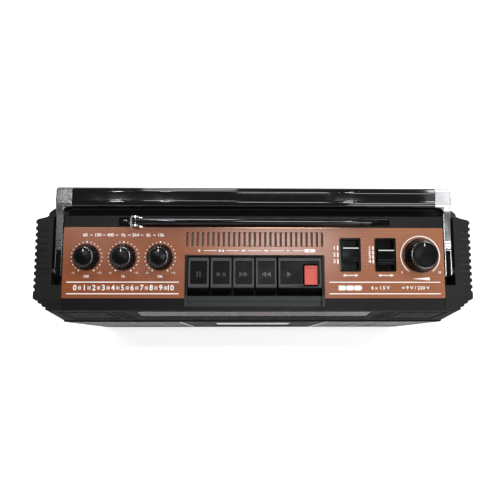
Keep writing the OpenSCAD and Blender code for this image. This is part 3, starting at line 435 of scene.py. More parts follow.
CABINET = Moulded("cabinet_black", "black_moulding", grey(0.006), roughness=0.60, specular=0.05)
SHELL_LIP = Moulded("deck_satin", "black_moulding", (0.0065, 0.0068, 0.0065), roughness=0.40,
                    grain=0.000012, specular=0.15)
CHEEK = Moulded("cheek_satin", "cheek_moulding", (0.008, 0.008, 0.0075), roughness=0.46, grain=0.00002,
                specular=0.2)
GLOSS = Finish("gloss_moulding", "gloss_black", (0.002, 0.0022, 0.0025), roughness=0.14, smears=0.04,
               specular=0.25)
GRIP = Finish("grip_gloss", "gloss_black", (0.002, 0.002, 0.0025), roughness=0.07, coat=0.5,
              coat_roughness=0.03, smears=0.02, specular=0.45)
KNOB_TOP = Moulded("knob_top_satin", "gloss_black", (0.003, 0.003, 0.0034), roughness=0.3, grain=0.00001,
                   specular=0.12)
KNOB_LIP = Finish("knob_lip_smoked", "gloss_black", (0.12, 0.12, 0.13), roughness=0.16, metallic=1.0,
                  mottle=0.05, smears=0.04)
# The keys' raised rims are a lighter grey than their dishes and front faces: a painted highlight where the
# rims catch the light.
KEY = TwoTone("key_black", "key_plastic", (0.0035, 0.0038, 0.0038), roughness=0.3, grain=0.00001,
              specular=0.06, measure=dish_level, beyond=(0.060, 0.062, 0.063))
KEY_SIGN = Finish("key_sign_grey", "key_plastic", (0.022, 0.023, 0.024), roughness=0.34, specular=0.3)
KEY_SURROUND = TwoTone("key_frame_grey", "black_moulding", grey(0.004), roughness=0.42, specular=0.2,
                       measure=sill_level, beyond=(0.026, 0.029, 0.030), grain=0.00001)
RECORD_RED = TwoTone("record_key_red", "record_red", grey(0.008), roughness=0.42, specular=0.25,
                     measure=lever_level, beyond=(0.58, 0.095, 0.075), grain=0.00001)
POINTER_RED = Finish("pointer_red", "record_red", (0.56, 0.105, 0.085), roughness=0.42)
# The copper panel's colour carries a painted reflection of the studio light: darker at the left end, lighter
# towards the right.
COPPER = Brushed("copper_lacquer", "panel_copper", (0.29, 0.100, 0.050), roughness=0.27, smears=0.04,
                 streak=0.16, ends=((0.25, 0.072, 0.028), (0.33, 0.120, 0.052)))
# A lighter copper for the strip round the panel's outline: a painted highlight of its bevelled edge.
COPPER_EDGE = Brushed("copper_edge", "panel_copper", (0.45, 0.24, 0.15), roughness=0.22, metallic=0.9,
                      smears=0.05, streak=0.06)
DIAL_CARD = Brushed("dial_card_copper", "dial_card", (0.24, 0.10, 0.06), roughness=0.45, metallic=0.2)
PLATED = Finish("bright_plating", "plated", (0.78, 0.79, 0.81), roughness=0.14, metallic=1.0,
                mottle=0.03, smears=0.05)
# The left arm's darker plating is a shaded copy of the right arm's bright plating. It is painted shade,
# besides real dull specks of wear.
PLATED_WORN = Worn("worn_plating", "plated", (0.36, 0.365, 0.38), roughness=0.24, metallic=1.0)
SMOKED = Finish("smoked_plating", "plated", (0.05, 0.05, 0.055), roughness=0.10, metallic=1.0,
                mottle=0.03, smears=0.03)
STEEL = Finish("zinc_steel", "steel", (0.50, 0.51, 0.53), roughness=0.34, metallic=1.0,
               mottle_scale=220.0)
BRASS = Finish("turned_brass", "brass", (0.72, 0.52, 0.25), roughness=0.28, metallic=1.0)
GRILLE = Moulded("grille_lacquer", "grille_metal", (0.030, 0.030, 0.032), roughness=0.36, metallic=0.3)
PAPER = Pressed("cone_paper", "paper_cone", (0.030, 0.030, 0.031), roughness=0.85)
CLOTH = Pressed("speaker_cloth", "paper_cone", (0.016, 0.016, 0.017), roughness=0.95, fibre=0.00015,
                fibre_scale=1800.0)
SLOT_CLOTH = replace(CLOTH, name="slot_cloth", colour=(0.20, 0.15, 0.12))
TINTED = Clear("tinted_window", "clear_tinted", (0.34, 0.23, 0.185), roughness=0.05, smears=0.02)
ACETAL = Finish("acetal_white", "white_plastic", (0.78, 0.78, 0.74), roughness=0.32, mottle=0.03)
WHITE_INK = Finish("white_ink", "white_plastic", (0.90, 0.86, 0.82), roughness=0.5, mottle=0.03)
# Pale grey for the line on each slider's ridge: a painted highlight.
INDEX = Finish("index_line_grey", "white_plastic", (0.62, 0.62, 0.61), roughness=0.4, mottle=0.03)
RUBBER = Pressed("black_rubber", "rubber", grey(0.016), roughness=0.78, fibre=0.00004)
BOARD = Etched("phenolic_board", "board", (0.30, 0.19, 0.07), roughness=0.5)
IRON = Stacked("varnished_iron", "transformer_iron", (0.09, 0.09, 0.095), roughness=0.5, metallic=0.6)
CASING = Finish("black_ink", "black_moulding", grey(0.012), roughness=0.5)
RESISTOR = Finish("resistor_tan", "board", (0.48, 0.33, 0.18), roughness=0.5)
SLEEVE = Finish("capacitor_sleeve", "black_moulding", (0.03, 0.05, 0.10), roughness=0.35)


# --------------- shapes


def round_edges(mesh: bmesh.types.BMesh, width: float, steps: int, angle: float, clamp: bool) -> int:
    """Round a mesh's sharp edges.

    Args:
        mesh: the mesh.
        width: how far the rounding reaches.
        steps: how many stretches it has.
        angle: the least turn, in degrees, of an edge that is rounded.
        clamp: whether roundings that would meet are made narrower.

    Returns:
        How many edges were rounded.
    """
    sharp = [edge for edge in mesh.edges
             if len(edge.link_faces) == 2 and edge.calc_face_angle(0.0) > math.radians(angle)]
    bmesh.ops.bevel(mesh, geom=sharp, offset=width, offset_type="OFFSET", segments=steps, profile=0.5,
                    affect="EDGES", material=-1, clamp_overlap=clamp)
    return len(sharp)


def stand(name: str, data: bpy.types.ID) -> bpy.types.Object:
    """Put data into the scene as an object."""
    made = bpy.data.objects.new(name, data)
    bpy.context.scene.collection.objects.link(made)
    return made


def show(mesh: bmesh.types.BMesh, name: str, material: bpy.types.Material,
         smooth: float) -> bpy.types.Object:
    """Turn a finished mesh into an object of the scene.

    Args:
        mesh: the mesh, in the object's metres.
        name: the object's name.
        material: its only material.
        smooth: faces that meet at less than this many degrees are shaded as one.

    Returns:
        The object.
    """
    data = bpy.data.meshes.new(name)
    mesh.to_mesh(data)
    mesh.free()
    if smooth:
        data.polygons.foreach_set("use_smooth", [True] * len(data.polygons))
        data.set_sharp_from_angle(angle=math.radians(smooth))
    data.materials.append(material)
    return stand(name, data)


class Blank:
    """A mesh in the making, in millimetres, in the frame of what it sits on."""

    smooth = 35.0
    sharp = 30.0

    def __init__(self) -> None:
        """Start with nothing."""
        self.mesh = bmesh.new()

    def block(self, size: Point, at: Point = ORIGIN) -> None:
        """Add a block, standing with the middle of its underside on a place."""
        middle = Matrix.Translation((at[0], at[1], at[2] + size[2] / 2))
        bmesh.ops.create_cube(self.mesh, size=1.0, matrix=middle @ Matrix.Diagonal((*size, 1.0)))

    def drum(self, radius: float, height: float, at: Point = ORIGIN, segments: int = 24) -> None:
        """Add an upright drum, standing with the middle of its underside on a place."""
        bmesh.ops.create_cone(self.mesh, cap_ends=True, segments=segments, radius1=radius, radius2=radius,
                              depth=height, matrix=Matrix.Translation((at[0], at[1], at[2] + height / 2)))

    def plate(self, outline: Sequence[Flat], thickness: float, at: Point = ORIGIN) -> None:
        """Add a flat plate.

        Args:
            outline: the corners of its plan, in order.
            thickness: how thick it is.
            at: where the plan's origin goes.
        """
        face = self.mesh.faces.new([self.mesh.verts.new((at[0] + x, at[1] + y, at[2])) for x, y in outline])
        grown = bmesh.ops.extrude_face_region(self.mesh, geom=[face])
        risen = [item for item in grown["geom"] if isinstance(item, bmesh.types.BMVert)]
        bmesh.ops.translate(self.mesh, verts=risen, vec=(0.0, 0.0, thickness))

    def turned(self, profile: Sequence[Flat], segments: int) -> None:
        """Add a shape turned on the upright axis.

        Args:
            profile: radius and height of each corner, in order.
            segments: how many sides it has.
        """
        corners = [self.mesh.verts.new((radius, 0.0, height)) for radius, height in profile]
        lines = [self.mesh.edges.new(pair) for pair in zip(corners, corners[1:])]
        bmesh.ops.spin(self.mesh, geom=[*corners, *lines], cent=ORIGIN, axis=UP,
                       angle=math.tau, steps=segments, use_merge=True)
        bmesh.ops.remove_doubles(self.mesh, verts=self.mesh.verts[:], dist=0.0005)

    def ease(self, width: float, steps: int = 2) -> None:
        """Round the sharp edges, so far and in so many stretches."""
        round_edges(self.mesh, width, steps, self.sharp, True)

    def piece(self, name: str, body: str, finish: Finish, place: Matrix) -> None:
        """Turn the mesh into a piece of the object.

        Args:
            name: the piece's name.
            body: the moving body that carries it.
            finish: its finish.
            place: from the blank's millimetres to the object's metres.
        """
        bmesh.ops.recalc_face_normals(self.mesh, faces=self.mesh.faces[:])
        self.mesh.transform(place)
        made = show(self.mesh, name, finish.material(), self.smooth)
        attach(made, body)
        LOG.info("made %s on %s, %d faces", name, body, len(made.data.polygons))


@dataclass(frozen=True)
class Type:
    """How figures are printed."""

    height: float
    spread: float = 1.0
    weight: float = 0.0


class Print(Blank):
    """A layer of ink, on a plane of the object."""

    lift = 0.015
    figure_share = 0.72
    curve_steps = 3

    def __init__(self, ink: float = 0.05) -> None:
        """Start with nothing, for a layer of that thickness."""
        super().__init__()
        self.ink = ink

    def bar(self, width: float, height: float, x: float, s: float) -> None:
        """Add a bar, centred."""
        self.block((width, height, self.ink), (x, s, 0.0))

    def bow(self, radius: float, width: float, turns: Flat, x: float, s: float, steps: int) -> None:
        """Add a bow, which is a part of a ring.

        Args:
            radius: its middle radius.
            width: how wide the band is.
            turns: where it starts and stops, in radians from X.
            x: the ring's middle across.
            s: its middle along.
            steps: how many stretches it has.
        """
        start, stop = turns
        out, low = Vector((math.cos(start), math.sin(start), 0.0)), Vector((x, s, 0.0))
        corners = [low + out * (radius + side * width / 2) + Vector((0.0, 0.0, up * self.ink))
                   for side, up in ((-1, 0), (1, 0), (1, 1), (-1, 1))]
        face = self.mesh.faces.new([self.mesh.verts.new(corner) for corner in corners])
        bmesh.ops.spin(self.mesh, geom=[face, *face.edges, *face.verts], cent=low, axis=UP,
                       angle=stop - start, steps=steps, use_merge=False)

    def write(self, text: str, style: Type, x: float, s: float) -> None:
        """Write numbers or plain signs, centred.

        Args:
            text: what is written.
            style: how it is printed.
            x: its middle across.
            s: its middle along.
        """
        curve = bpy.data.curves.new("figures", "FONT")
        curve.body, curve.size, curve.offset = text, style.height / self.figure_share, style.weight
        curve.align_x, curve.align_y = "CENTER", "CENTER"
        curve.extrude, curve.resolution_u = self.ink / 2, self.curve_steps
        holder = bpy.data.objects.new("figures", curve)
        flat = bpy.data.meshes.new_from_object(holder)
        flat.transform(Matrix.Translation((x, s, self.ink / 2)) @ Matrix.Diagonal((style.spread, 1, 1, 1)))
        self.mesh.from_mesh(flat)
        for leftover, store in ((holder, bpy.data.objects), (flat, bpy.data.meshes),
                                (curve, bpy.data.curves)):
            store.remove(leftover)

    def row(self, texts: Sequence[str], style: Type, start: Flat, step: float, tick: Flat,
            parts: Sequence[float] = (0.0,), drop: float = 0.0) -> None:
        """Write figures in an even row, with ticks under them or between them.

        Args:
            texts: what is written, from left to right.
            style: how it is printed.
            start: the middle of the first.
            step: from one to the next.
            tick: a tick's width and height.
            parts: where its ticks stand after a figure, as shares of a step.
            drop: how far the ticks are below the figures.
        """
        for index, text in enumerate(texts):
            x = start[0] + step * index
            self.write(text, style, x, start[1])
            for part in parts:
                if part == 0.0 or index < len(texts) - 1:
                    self.bar(*tick, x + step * part, start[1] - drop)

    def frame(self, width: float, height: float, band: float) -> None:
        """Add a thin frame round the origin, made of bars."""
        for side in (-1, 1):
            self.bar(width, band, 0.0, side * (height - band) / 2)
            self.bar(band, height - 2 * band, side * (width - band) / 2, 0.0)

    def lay(self, name: str, plane: "Plane | None" = None, body: str = "cabinet", lift: float = 0.0,
            finish: Finish = WHITE_INK) -> None:
        """Print the layer on a plane, or on the deck, with a lift besides the ink's own."""
        self.piece(name, body, finish, (plane or DECK).matrix(lift=lift + self.lift))


@dataclass(frozen=True)
class Plane:
    """A flat place on the object, with its own x, s and height, in millimetres."""

    origin: Vector
    across: Vector
    along: Vector
    normal: Vector

    def matrix(self, x: float = 0.0, s: float = 0.0, lift: float = 0.0) -> Matrix:
        """From millimetres on the plane, about one point of it, to the object's metres.

        Args:
            x: the point's place across.
            s: its place along.
            lift: its height over the plane.

        Returns:
            The placing.
        """
        spot = self.origin + (self.across * x + self.along * s + self.normal * lift) * MM
        turn = Matrix((self.across, self.along, self.normal)).transposed().to_4x4()
        return Matrix.Translation(spot) @ turn @ Matrix.Scale(MM, 4)

    def find(self, point: Vector) -> Point:
        """A point's place on the plane, in millimetres."""
        step = (point - self.origin) / MM
        return step.dot(self.across), step.dot(self.along), step.dot(self.normal)

    @classmethod
    def on(cls, node: str, facing: Sequence[float]) -> "Plane":
        """The widest flat place of a CAD node that faces one way.

        Args:
            node: the node's name.
            facing: roughly the way that it faces.

        Returns:
            The plane, with its origin at the middle of its faces.
        """
        facing_share, flush_share, flush_gap, rear_share = 0.94, 0.999, 0.0001, 0.5
        data = frame["nodes"][node].data
        faces = [face for face in data.polygons if face.normal.dot(Vector(facing)) > facing_share]
        best = max(faces, key=lambda face: face.area)
        normal = best.normal.normalized()
        level = best.center.dot(normal)
        flush = [face for face in faces if abs(face.center.dot(normal) - level) < flush_gap
                 and face.normal.dot(normal) > flush_share]
        points = [data.vertices[index].co for face in flush for index in face.vertices]
        across = Vector((-1.0 if normal.y > rear_share else 1.0, 0.0, 0.0))
        along = normal.cross(across).normalized()
        across = along.cross(normal).normalized()
        spans = [[point.dot(axis) for point in points] for axis in (across, along)]
        mid = [(min(span) + max(span)) / 2 for span in spans]
        return cls(across * mid[0] + along * mid[1] + normal * level, across, along, normal)


@dataclass(frozen=True)
class Span:
    """How far a CAD node reaches on a plane, in the plane's millimetres."""

    low: Vector
    high: Vector

    @property
    def mid(self) -> Vector:
        """The middle of the span."""
        return (self.low + self.high) / 2

    @property
    def width(self) -> float:
        """How far it reaches across."""
        return self.high.x - self.low.x

    @property
    def depth(self) -> float:
        """How far it reaches along."""
        return self.high.y - self.low.y

    @classmethod
    def of(cls, node: str, plane: Plane | None = None) -> "Span":
        """Measure a node on a plane, or on the deck."""
        plane = plane or DECK
        axes = list(zip(*(plane.find(vertex.co) for vertex in frame["nodes"][node].data.vertices)))
        return cls(Vector([min(axis) for axis in axes]), Vector([max(axis) for axis in axes]))


def deck_plane() -> Plane:
    """The control panel's face, with its origin at the middle of the panel's rear edge."""
    face = Plane.on("control_panel", DECK_FACING)
    reach = Span.of("control_panel", face).high.y
    return Plane(face.origin + face.along * reach * MM, face.across, face.along, face.normal)


DECK = deck_plane()
NODE_BODY: dict[str, str] = {
    node: body for body, nodes in frame["record"]["behaviour"]["bodies"].items() for node in nodes}


def crown(node: str, depth: float = 0.05) -> list[Point]:
    """The topmost corners of a CAD node on the deck.

    Args:
        node: the node's name.
        depth: how far under the very highest a corner may be.

    Returns:
        The corners' places on the deck.
    """
    spots = [DECK.find(vertex.co) for vertex in frame["nodes"][node].data.vertices]
    top = max(spot[2] for spot in spots)
    return [spot for spot in spots if spot[2] > top - depth]


def dress(node: str, finish: Finish) -> None:
    """Give a CAD node a finish, in its object's own material slots.

    Args:
        node: the node's name.
        finish: its finish.
    """
    part = frame["nodes"][node]
    if not part.material_slots:
        part.data.materials.append(None)
    for place in part.material_slots:
        place.link = "OBJECT"
        place.material = finish.material()
    LOG.info("dressed %s in %s", node, finish.name)


@dataclass(frozen=True)
class Eased:
    """A CAD node shown with its sharp edges rounded, as a moulding or a turned part has them."""

    node: str
    finish: Finish
    width: float
    steps: int = 2
    angle: float = 32.0
    smooth: float = 50.0
    merge: float = 0.002
    flat: float = 0.4
    stray: float = 0.6

    def build(self) -> None:
        """Merge a copy of the node, round its edges and let it stand for the node.

        The rounding leaves long spikes at some narrow corners, so a corner that ends up far from the
        node's own surface goes back to it, and none leaves the node's own box.
        """
        mesh = bmesh.new()
        mesh.from_mesh(frame["nodes"][self.node].data)
        bmesh.ops.remove_doubles(mesh, verts=mesh.verts[:], dist=self.merge * MM)
        bmesh.ops.dissolve_limit(mesh, angle_limit=math.radians(self.flat), use_dissolve_boundaries=False,
                                 verts=mesh.verts[:], edges=mesh.edges[:])
        tree = BVHTree.FromBMesh(mesh)
        axes = list(zip(*(vert.co for vert in mesh.verts)))
        box = [(min(axis), max(axis)) for axis in axes]
        count = round_edges(mesh, self.width * MM, self.steps, self.angle, False)
        for vert in mesh.verts:
            near, _, _, gap = tree.find_nearest(vert.co)
            if gap > self.stray * self.width * MM:
                vert.co = near
            vert.co = [min(max(part, low), high) for part, (low, high) in zip(vert.co, box)]
        bmesh.ops.triangulate(mesh, faces=mesh.faces[:])
        made = show(mesh, "eased_" + self.node, self.finish.material(), self.smooth)
        made.modifiers.new("even_faces", "WEIGHTED_NORMAL").keep_sharp = True
        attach(made, NODE_BODY[self.node])
        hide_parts(self.node)
        LOG.info("eased %s, %d edges", self.node, count)


# --------------- printing


class Sign(Enum):
    """The plain signs of a tape recorder's keys."""

    PAUSE = "pause"
    STOP_EJECT = "stop_eject"
    FORWARD = "fast_forward"
    REWIND = "rewind"
    PLAY = "play"
    RECORD = "record"

    @property
    def node(self) -> str:
        """The CAD node of the key that bears the sign."""
        return self.value + "_key"

    def draw(self, blank: Blank, size: float, at: Point, thickness: float) -> None:
        """Draw the sign, centred.

        Args:
            blank: where it is drawn.
            size: its height.
            at: the middle of its underside.
            thickness: how far it stands up.
        """
        half, (x, y, z) = size / 2, at
        wedge = [(-half * 0.8, -half), (half * 0.8, 0.0), (-half * 0.8, half)]
        if self is Sign.PAUSE:
            for offset in (-half * 0.5, half * 0.5):
                blank.block((size * 0.26, size, thickness), (x + offset, y, z))
        elif self is Sign.STOP_EJECT:
            blank.block((size * 0.8, size * 0.8, thickness), (x - size * 0.7, y, z))
            blank.plate([(-half, -half * 0.3), (half, -half * 0.3), (0.0, half)], thickness,
                        (x + size * 0.7, y, z))
            blank.block((size, size * 0.2, thickness), (x + size * 0.7, y - half * 0.75, z))
        elif self is Sign.RECORD:
            blank.drum(half, thickness, at)
        else:
            shape = [(-across, up) for across, up in reversed(wedge)] if self is Sign.REWIND else wedge
            for offset in (0.0,) if self is Sign.PLAY else (-half * 0.8, half * 0.8):
                blank.plate(shape, thickness, (x + offset, y, z))


def pill(half_length: float, radius: float, steps: int = 10) -> list[Flat]:
    """The outline of a bar with round ends.

    Args:
        half_length: half of its whole length.
        radius: the radius of its ends.
        steps: how many stretches each end has.

    Returns:
        The corners, in order.
    """
    turns = [-math.pi / 2 + math.pi * index / steps for index in range(steps + 1)]
    return [(side * (half_length - radius + radius * math.cos(turn)), side * radius * math.sin(turn))
            for side in (1, -1) for turn in turns]


@dataclass
class PanelPrint:
    """White printing on the copper panel: dials, marks, signs and rules, and a painted highlight along its
    edges, in millimetres.
    """

    dot_radius: float = 0.55
    dot_circle: float = 2.1
    dot_step: float = 15.0
    dot_grow: float = 1.5
    dot_sides: int = 10
    knob_turn: float = 150.0
    end_type: Type = Type(1.9, 0.9)
    end_place: Flat = (0.5, 5.2)
    end_drop: float = 0.4
    label_type: Type = Type(2.5, 1.05, 0.07)
    label_drop: float = 3.4
    title_type: Type = Type(3.0, 1.05, 0.08)
    title_place: Flat = (-2.0, -7.6)
    title_share: float = 0.172
    dash: Flat = (2.6, 0.6)
    ring_gap: float = 38.0
    ring_width: float = 0.9
    ring_circle: float = 2.4
    ring_steps: int = 72
    volume_type: Type = Type(2.2, 1.0, 0.06)
    volume_place: Point = (0.78, 3.4, 0.86)
    wedge: tuple[Flat, ...] = ((-8.5, 0.0), (8.5, -1.5), (8.5, 1.5))
    mark: Flat = (1.3, 4.4)
    mark_gap: float = 0.9
    mark_type: Type = Type(3.6, 1.1, 0.08)
    mark_places: Flat = (12.0, 15.3)
    arrow_bar: Flat = (11.0, 0.8)
    arrow_head: Flat = (3.0, 1.4)
    arrow_place: Flat = (4.6, 3.6)
    sign_place: float = -22.4
    sign_size: float = 2.3
    sign_pill: Flat = (5.4, 1.5)
    sign_dot: float = 1.7
    link: Flat = (9.0, 0.5)
    play_middle: float = 10.0
    rule_width: float = 0.9
    rule_places: Flat = (-52.6, -63.6)
    rule_margins: Point = (4.5, 5.5, 4.5)
    scale_place: float = -58.1
    scale_margin: float = 8.0
    scale_steps: int = 10
    scale_type: Type = Type(5.2, 0.95, 0.12)
    scale_tick: Flat = (0.5, 3.4)
    scale_parts: Point = (0.38, 0.5, 0.62)
    cell: Flat = (6.4, 4.6)
    cell_tip: Flat = (1.0, 2.0)
    cell_step: float = 7.6
    supply_type: Type = Type(3.2, 1.1, 0.09)
    supply_places: Point = (12.0, 49.0, 83.0)
    edge_width: float = 0.3
    edge_inset: float = 0.1
    edge_ends: Point = (3.0, 2.4, 3.0)

    def build(self) -> None:
        """Print everything, one piece for each group."""
        for node, label in (("bass_knob", "100"), ("middle_knob", "1k"), ("treble_knob", "10k")):
            self.tone_dial(node, label)
        self.title()
        self.volume_dial()
        self.switch_marks("function_slider", 3)
        self.switch_marks("band_slider", 4)
        self.key_signs()
        self.rules_and_scale()
        self.supply_marks()
        self.panel_edges()

    def tone_dial(self, node: str, label: str) -> None:
        """Dots round a tone knob, with end marks and the middle of its band below.

        Args:
            node: the knob's node.
            label: the middle of its band.
        """
        place, ink = Span.of(node), Print()
        x, s, radius = place.mid.x, place.mid.y, place.width / 2 + self.dot_circle
        count = int(2 * self.knob_turn / self.dot_step)
        for index in range(count + 1):
            turn = math.radians(90 + self.knob_turn - index * self.dot_step)
            big = self.dot_grow if index in (0, count // 2, count) else 1.0
            ink.drum(self.dot_radius * big, ink.ink,
                     (x + radius * math.cos(turn), s + radius * math.sin(turn), 0.0), self.dot_sides)
        low, (share, out) = s - radius - self.end_drop, self.end_place
        for side, text in ((-1, "-10"), (1, "+10")):
            ink.write(text, self.end_type, x + side * (radius * share + out), low)
        ink.write(label, self.label_type, x, low - self.label_drop)
        ink.lay("dial_of_" + node)

    def title(self) -> None:
        """Frequencies in a row behind the tone knobs, with dashes between them."""
        ink, left, right = Print(), Span.of("bass_knob").mid.x, Span.of("treble_knob").mid.x
        start = (left + self.title_place[0], self.title_place[1])
        ink.row(("60", "150", "400", "1k", "2k4", "6k", "15k"), self.title_type, start,
                (right - left) * self.title_share, self.dash, (0.5,))
        ink.lay("tone_title_print")

    def volume_dial(self) -> None:
        """A ring round the volume knob, open in front, with 0 and 10 at its ends and a wedge below."""
        place, ink = Span.of("volume_knob"), Print()
        x, s, radius = place.mid.x, place.mid.y, place.width / 2 + self.ring_circle
        gap = math.radians(self.ring_gap)
        ink.bow(radius, self.ring_width, (gap - math.pi / 2, 1.5 * math.pi - gap), x, s,
                self.ring_steps)
        share, out, down = self.volume_place
        for side, text in ((-1, "0"), (1, "10")):
            ink.write(text, self.volume_type, x + side * (radius * share + out), s - radius * down)
        ink.plate(self.wedge, ink.ink, (x, s - radius - self.label_drop, 0.0))
        ink.lay("volume_dial_print")

    def switch_marks(self, node: str, positions: int) -> None:
        """A bar and a figure for each of a slide switch's positions, and an arrow with two heads.

        Args:
            node: the slider's node.
            positions: how many positions it has.
        """
        ink, bezels, x = Print(), Span.of("switch_bezels"), Span.of(node).mid.x
        low, high = next(joint["range_m"] for joint in frame["record"]["behaviour"]["joints"]
                         if joint["child"] == node)
        travel = (high - low) / MM
        tall = min(self.mark[1], travel / (positions - 1) - self.mark_gap)
        style = replace(self.mark_type, height=min(self.mark_type.height, tall))
        for index in range(positions):
            s = bezels.mid.y + travel * (0.5 - index / (positions - 1))
            ink.bar(self.mark[0], tall, x - self.mark_places[0], s)
            ink.write(str(index + 1), style, x - self.mark_places[1], s)
        (out, drop), (long, half) = self.arrow_place, self.arrow_head
        ink.bar(*self.arrow_bar, x, bezels.low.y - drop)
        for side in (-1, 1):
            ink.plate([(0.0, -half), (long * side, 0.0), (0.0, half)][::side], ink.ink,
                      (x + side * out, bezels.low.y - drop, 0.0))
        ink.lay(node + "_print")

    def key_signs(self) -> None:
        """The keys' signs in a row behind them, the record key's on a white pill."""
        ink, last = Print(), None
        for sign in Sign:
            place = Span.of(sign.node)
            x = place.low.x + self.play_middle if sign is Sign.PLAY else place.mid.x
            if sign is Sign.RECORD:
                ink.plate(pill(*self.sign_pill), ink.ink, (x, self.sign_place, 0.0))
            else:
                sign.draw(ink, self.sign_size, (x, self.sign_place, 0.0), ink.ink)
            if last is not None:
                ink.bar(x - last - self.link[0], self.link[1], (x + last) / 2, self.sign_place)
            last = x
        ink.lay("key_sign_print")
        dot = Print()
        Sign.RECORD.draw(dot, self.sign_dot, (last, self.sign_place, dot.ink), dot.ink)
        dot.lay("record_sign_dot", finish=POINTER_RED)

    def sides(self) -> tuple[Flat, Flat]:
        """From where to where the printing runs, left and right of the keys."""
        panel, keys = Span.of("control_panel"), Span.of("key_frame")
        edge, left, right = self.rule_margins
        return (panel.low.x + edge, keys.low.x - left), (keys.high.x + right, panel.high.x - edge)

    def rules_and_scale(self) -> None:
        """Two rules on each side of the keys, with a level scale between the left ones."""
        for name, (start, stop) in zip(("left_rules_print", "right_rules_print"), self.sides()):
            ink = Print()
            for s in self.rule_places:
                ink.bar(stop - start, self.rule_width, (start + stop) / 2, s)
            ink.lay(name)
        ink, (start, stop) = Print(), self.sides()[0]
        step = (stop - start - 2 * self.scale_margin) / self.scale_steps
        ink.row([str(index) for index in range(self.scale_steps + 1)], self.scale_type,
                (start + self.scale_margin, self.scale_place), step, self.scale_tick, self.scale_parts)
        ink.lay("level_scale_print")

    def supply_marks(self) -> None:
        """Signs for cells and mains between the right-hand rules."""
        ink, s = Print(), self.scale_place
        cells, battery, mains = (self.sides()[1][0] + place for place in self.supply_places)
        for x in (cells, cells + self.cell_step, cells + 2 * self.cell_step):
            ink.bar(*self.cell, x, s)
            ink.bar(*self.cell_tip, x + (self.cell[0] + self.cell_tip[0]) / 2, s)
        ink.write("6 x 1.5 V", self.supply_type, battery, s)
        ink.write("= 9 V / 220 V", self.supply_type, mains, s)
        ink.lay("supply_sign_print")

    def panel_edges(self) -> None:
        """A painted highlight of the panel's bevelled edges: a lighter copper strip round its outline."""
        ink, panel, keys = Print(), Span.of("control_panel"), Span.of("key_frame")
        width, inset = self.edge_width, self.edge_width / 2 + self.edge_inset
        rear, front, sides = self.edge_ends
        ink.bar(panel.width - rear, width, 0.0, panel.high.y - inset)
        for low, high in ((panel.low.x, keys.low.x), (keys.high.x, panel.high.x)):
            ink.bar(high - low - front, width, (low + high) / 2, panel.low.y + inset)
        for side in (-1, 1):
            ink.bar(width, panel.depth - sides, side * (panel.high.x - inset), panel.mid.y)
        ink.lay("panel_cut_edges", finish=COPPER_EDGE)


# --------------- fine pieces


@dataclass
class Keys:
    """The raised signs in the keys' dishes."""

    sign_size: float = 6.4
    usual: float = 0.85
    wide: float = 0.62
    play_middle: float = 10.4
    drop: float = 1.5
    rise: float = 0.22
    round_off: float = 0.08
    sink: float = 0.02

    def build(self) -> None:
        """Set a sign in each dish but the record key's."""
        for sign in Sign:
            if sign is Sign.RECORD:
                continue
            dish, blank = Plane.on(sign.node, DECK.normal), Blank()
            x = Span.of(sign.node, dish).low.x + self.play_middle if sign is Sign.PLAY else 0.0
            size = self.sign_size * (self.wide if sign is Sign.STOP_EJECT else self.usual)
            sign.draw(blank, size, (x, -self.drop, 0.0), self.rise)
            blank.ease(self.round_off, 1)
            blank.piece("sign_on_" + sign.node, NODE_BODY[sign.node], KEY_SIGN, dish.matrix(lift=-self.sink))


@dataclass
class KnobTops:
    """What the four knobs of the deck carry besides their moulding."""

    lip: float = 1.4
    gap: float = 0.15
    round_off: float = 1.2
    round_steps: int = 8
    overhang: float = 0.3
    sides: tuple[int, int] = (48, 64)
    rings: tuple[Flat, ...] = ((0.0, 0.10), (0.5, 0.16), (0.52, 0.10), (0.78, 0.24), (0.80, 0.18),
                               (1.0, 0.32), (1.0, 0.0), (0.0, 0.0))
    edge: Point = (0.1, -0.3, -0.05)
    line: Point = (0.7, 2.6, 0.06)
    line_in: float = 1.9
    lifts: Point = (-0.89, 0.12, -0.2)

    def build(self) -> None:
        """Dress each knob's top."""
        for node in ("bass_knob", "middle_knob", "treble_knob", "volume_knob"):
            self.top(node)

    def top(self, node: str) -> None:
        """A turned disc in the dish, a bright lip round it, and a white line as its pointer.

        Args:
            node: the knob's node.
        """
        place = Span.of(node)
        rim = max(math.hypot(x - place.mid.x, s - place.mid.y) for x, s, _ in crown(node))
        disc, ring, line = Blank(), Blank(), Blank()
        inner, (step, foot, top) = rim - self.lip, self.edge
        disc.turned([((inner - self.gap) * share, height) for share, height in self.rings],
                    self.sides[0])
        turns = [math.pi / 2 * index / self.round_steps for index in range(self.round_steps + 1)]
        curve = [(rim + self.round_off * (self.overhang - (1 - math.sin(turn))),
                  self.round_off * (math.cos(turn) - 1)) for turn in turns]
        ring.turned([(rim + foot, -self.round_off), *reversed(curve), (inner + step, top),
                     (inner + step, foot)], self.sides[1])
        line.block(self.line, (0.0, inner - self.line_in, 0.0))
        for name, blank, finish, lift in zip(("top_of_", "lip_of_", "pointer_of_"), (disc, ring, line),
                                             (KNOB_TOP, KNOB_LIP, WHITE_INK), self.lifts):
            blank.piece(name + node, NODE_BODY[node], finish,
                        DECK.matrix(place.mid.x, place.mid.y, place.high.z + lift))


@dataclass
class SliderLines:
    """A painted highlight on each slide switch's ridge: a pale line."""

    size: Point = (15.0, 0.9, 0.05)
    lift: float = 0.005

    def build(self) -> None:
        """Paint the highlight on both sliders."""
        for node in ("function_slider", "band_slider"):
            place, line = Span.of(node), Blank()
            crests = [spot[1] for spot in crown(node)]
            line.block(self.size)
            line.piece("index_of_" + node, NODE_BODY[node], INDEX,
                       DECK.matrix(place.mid.x, (min(crests) + max(crests)) / 2, place.high.z + self.lift))


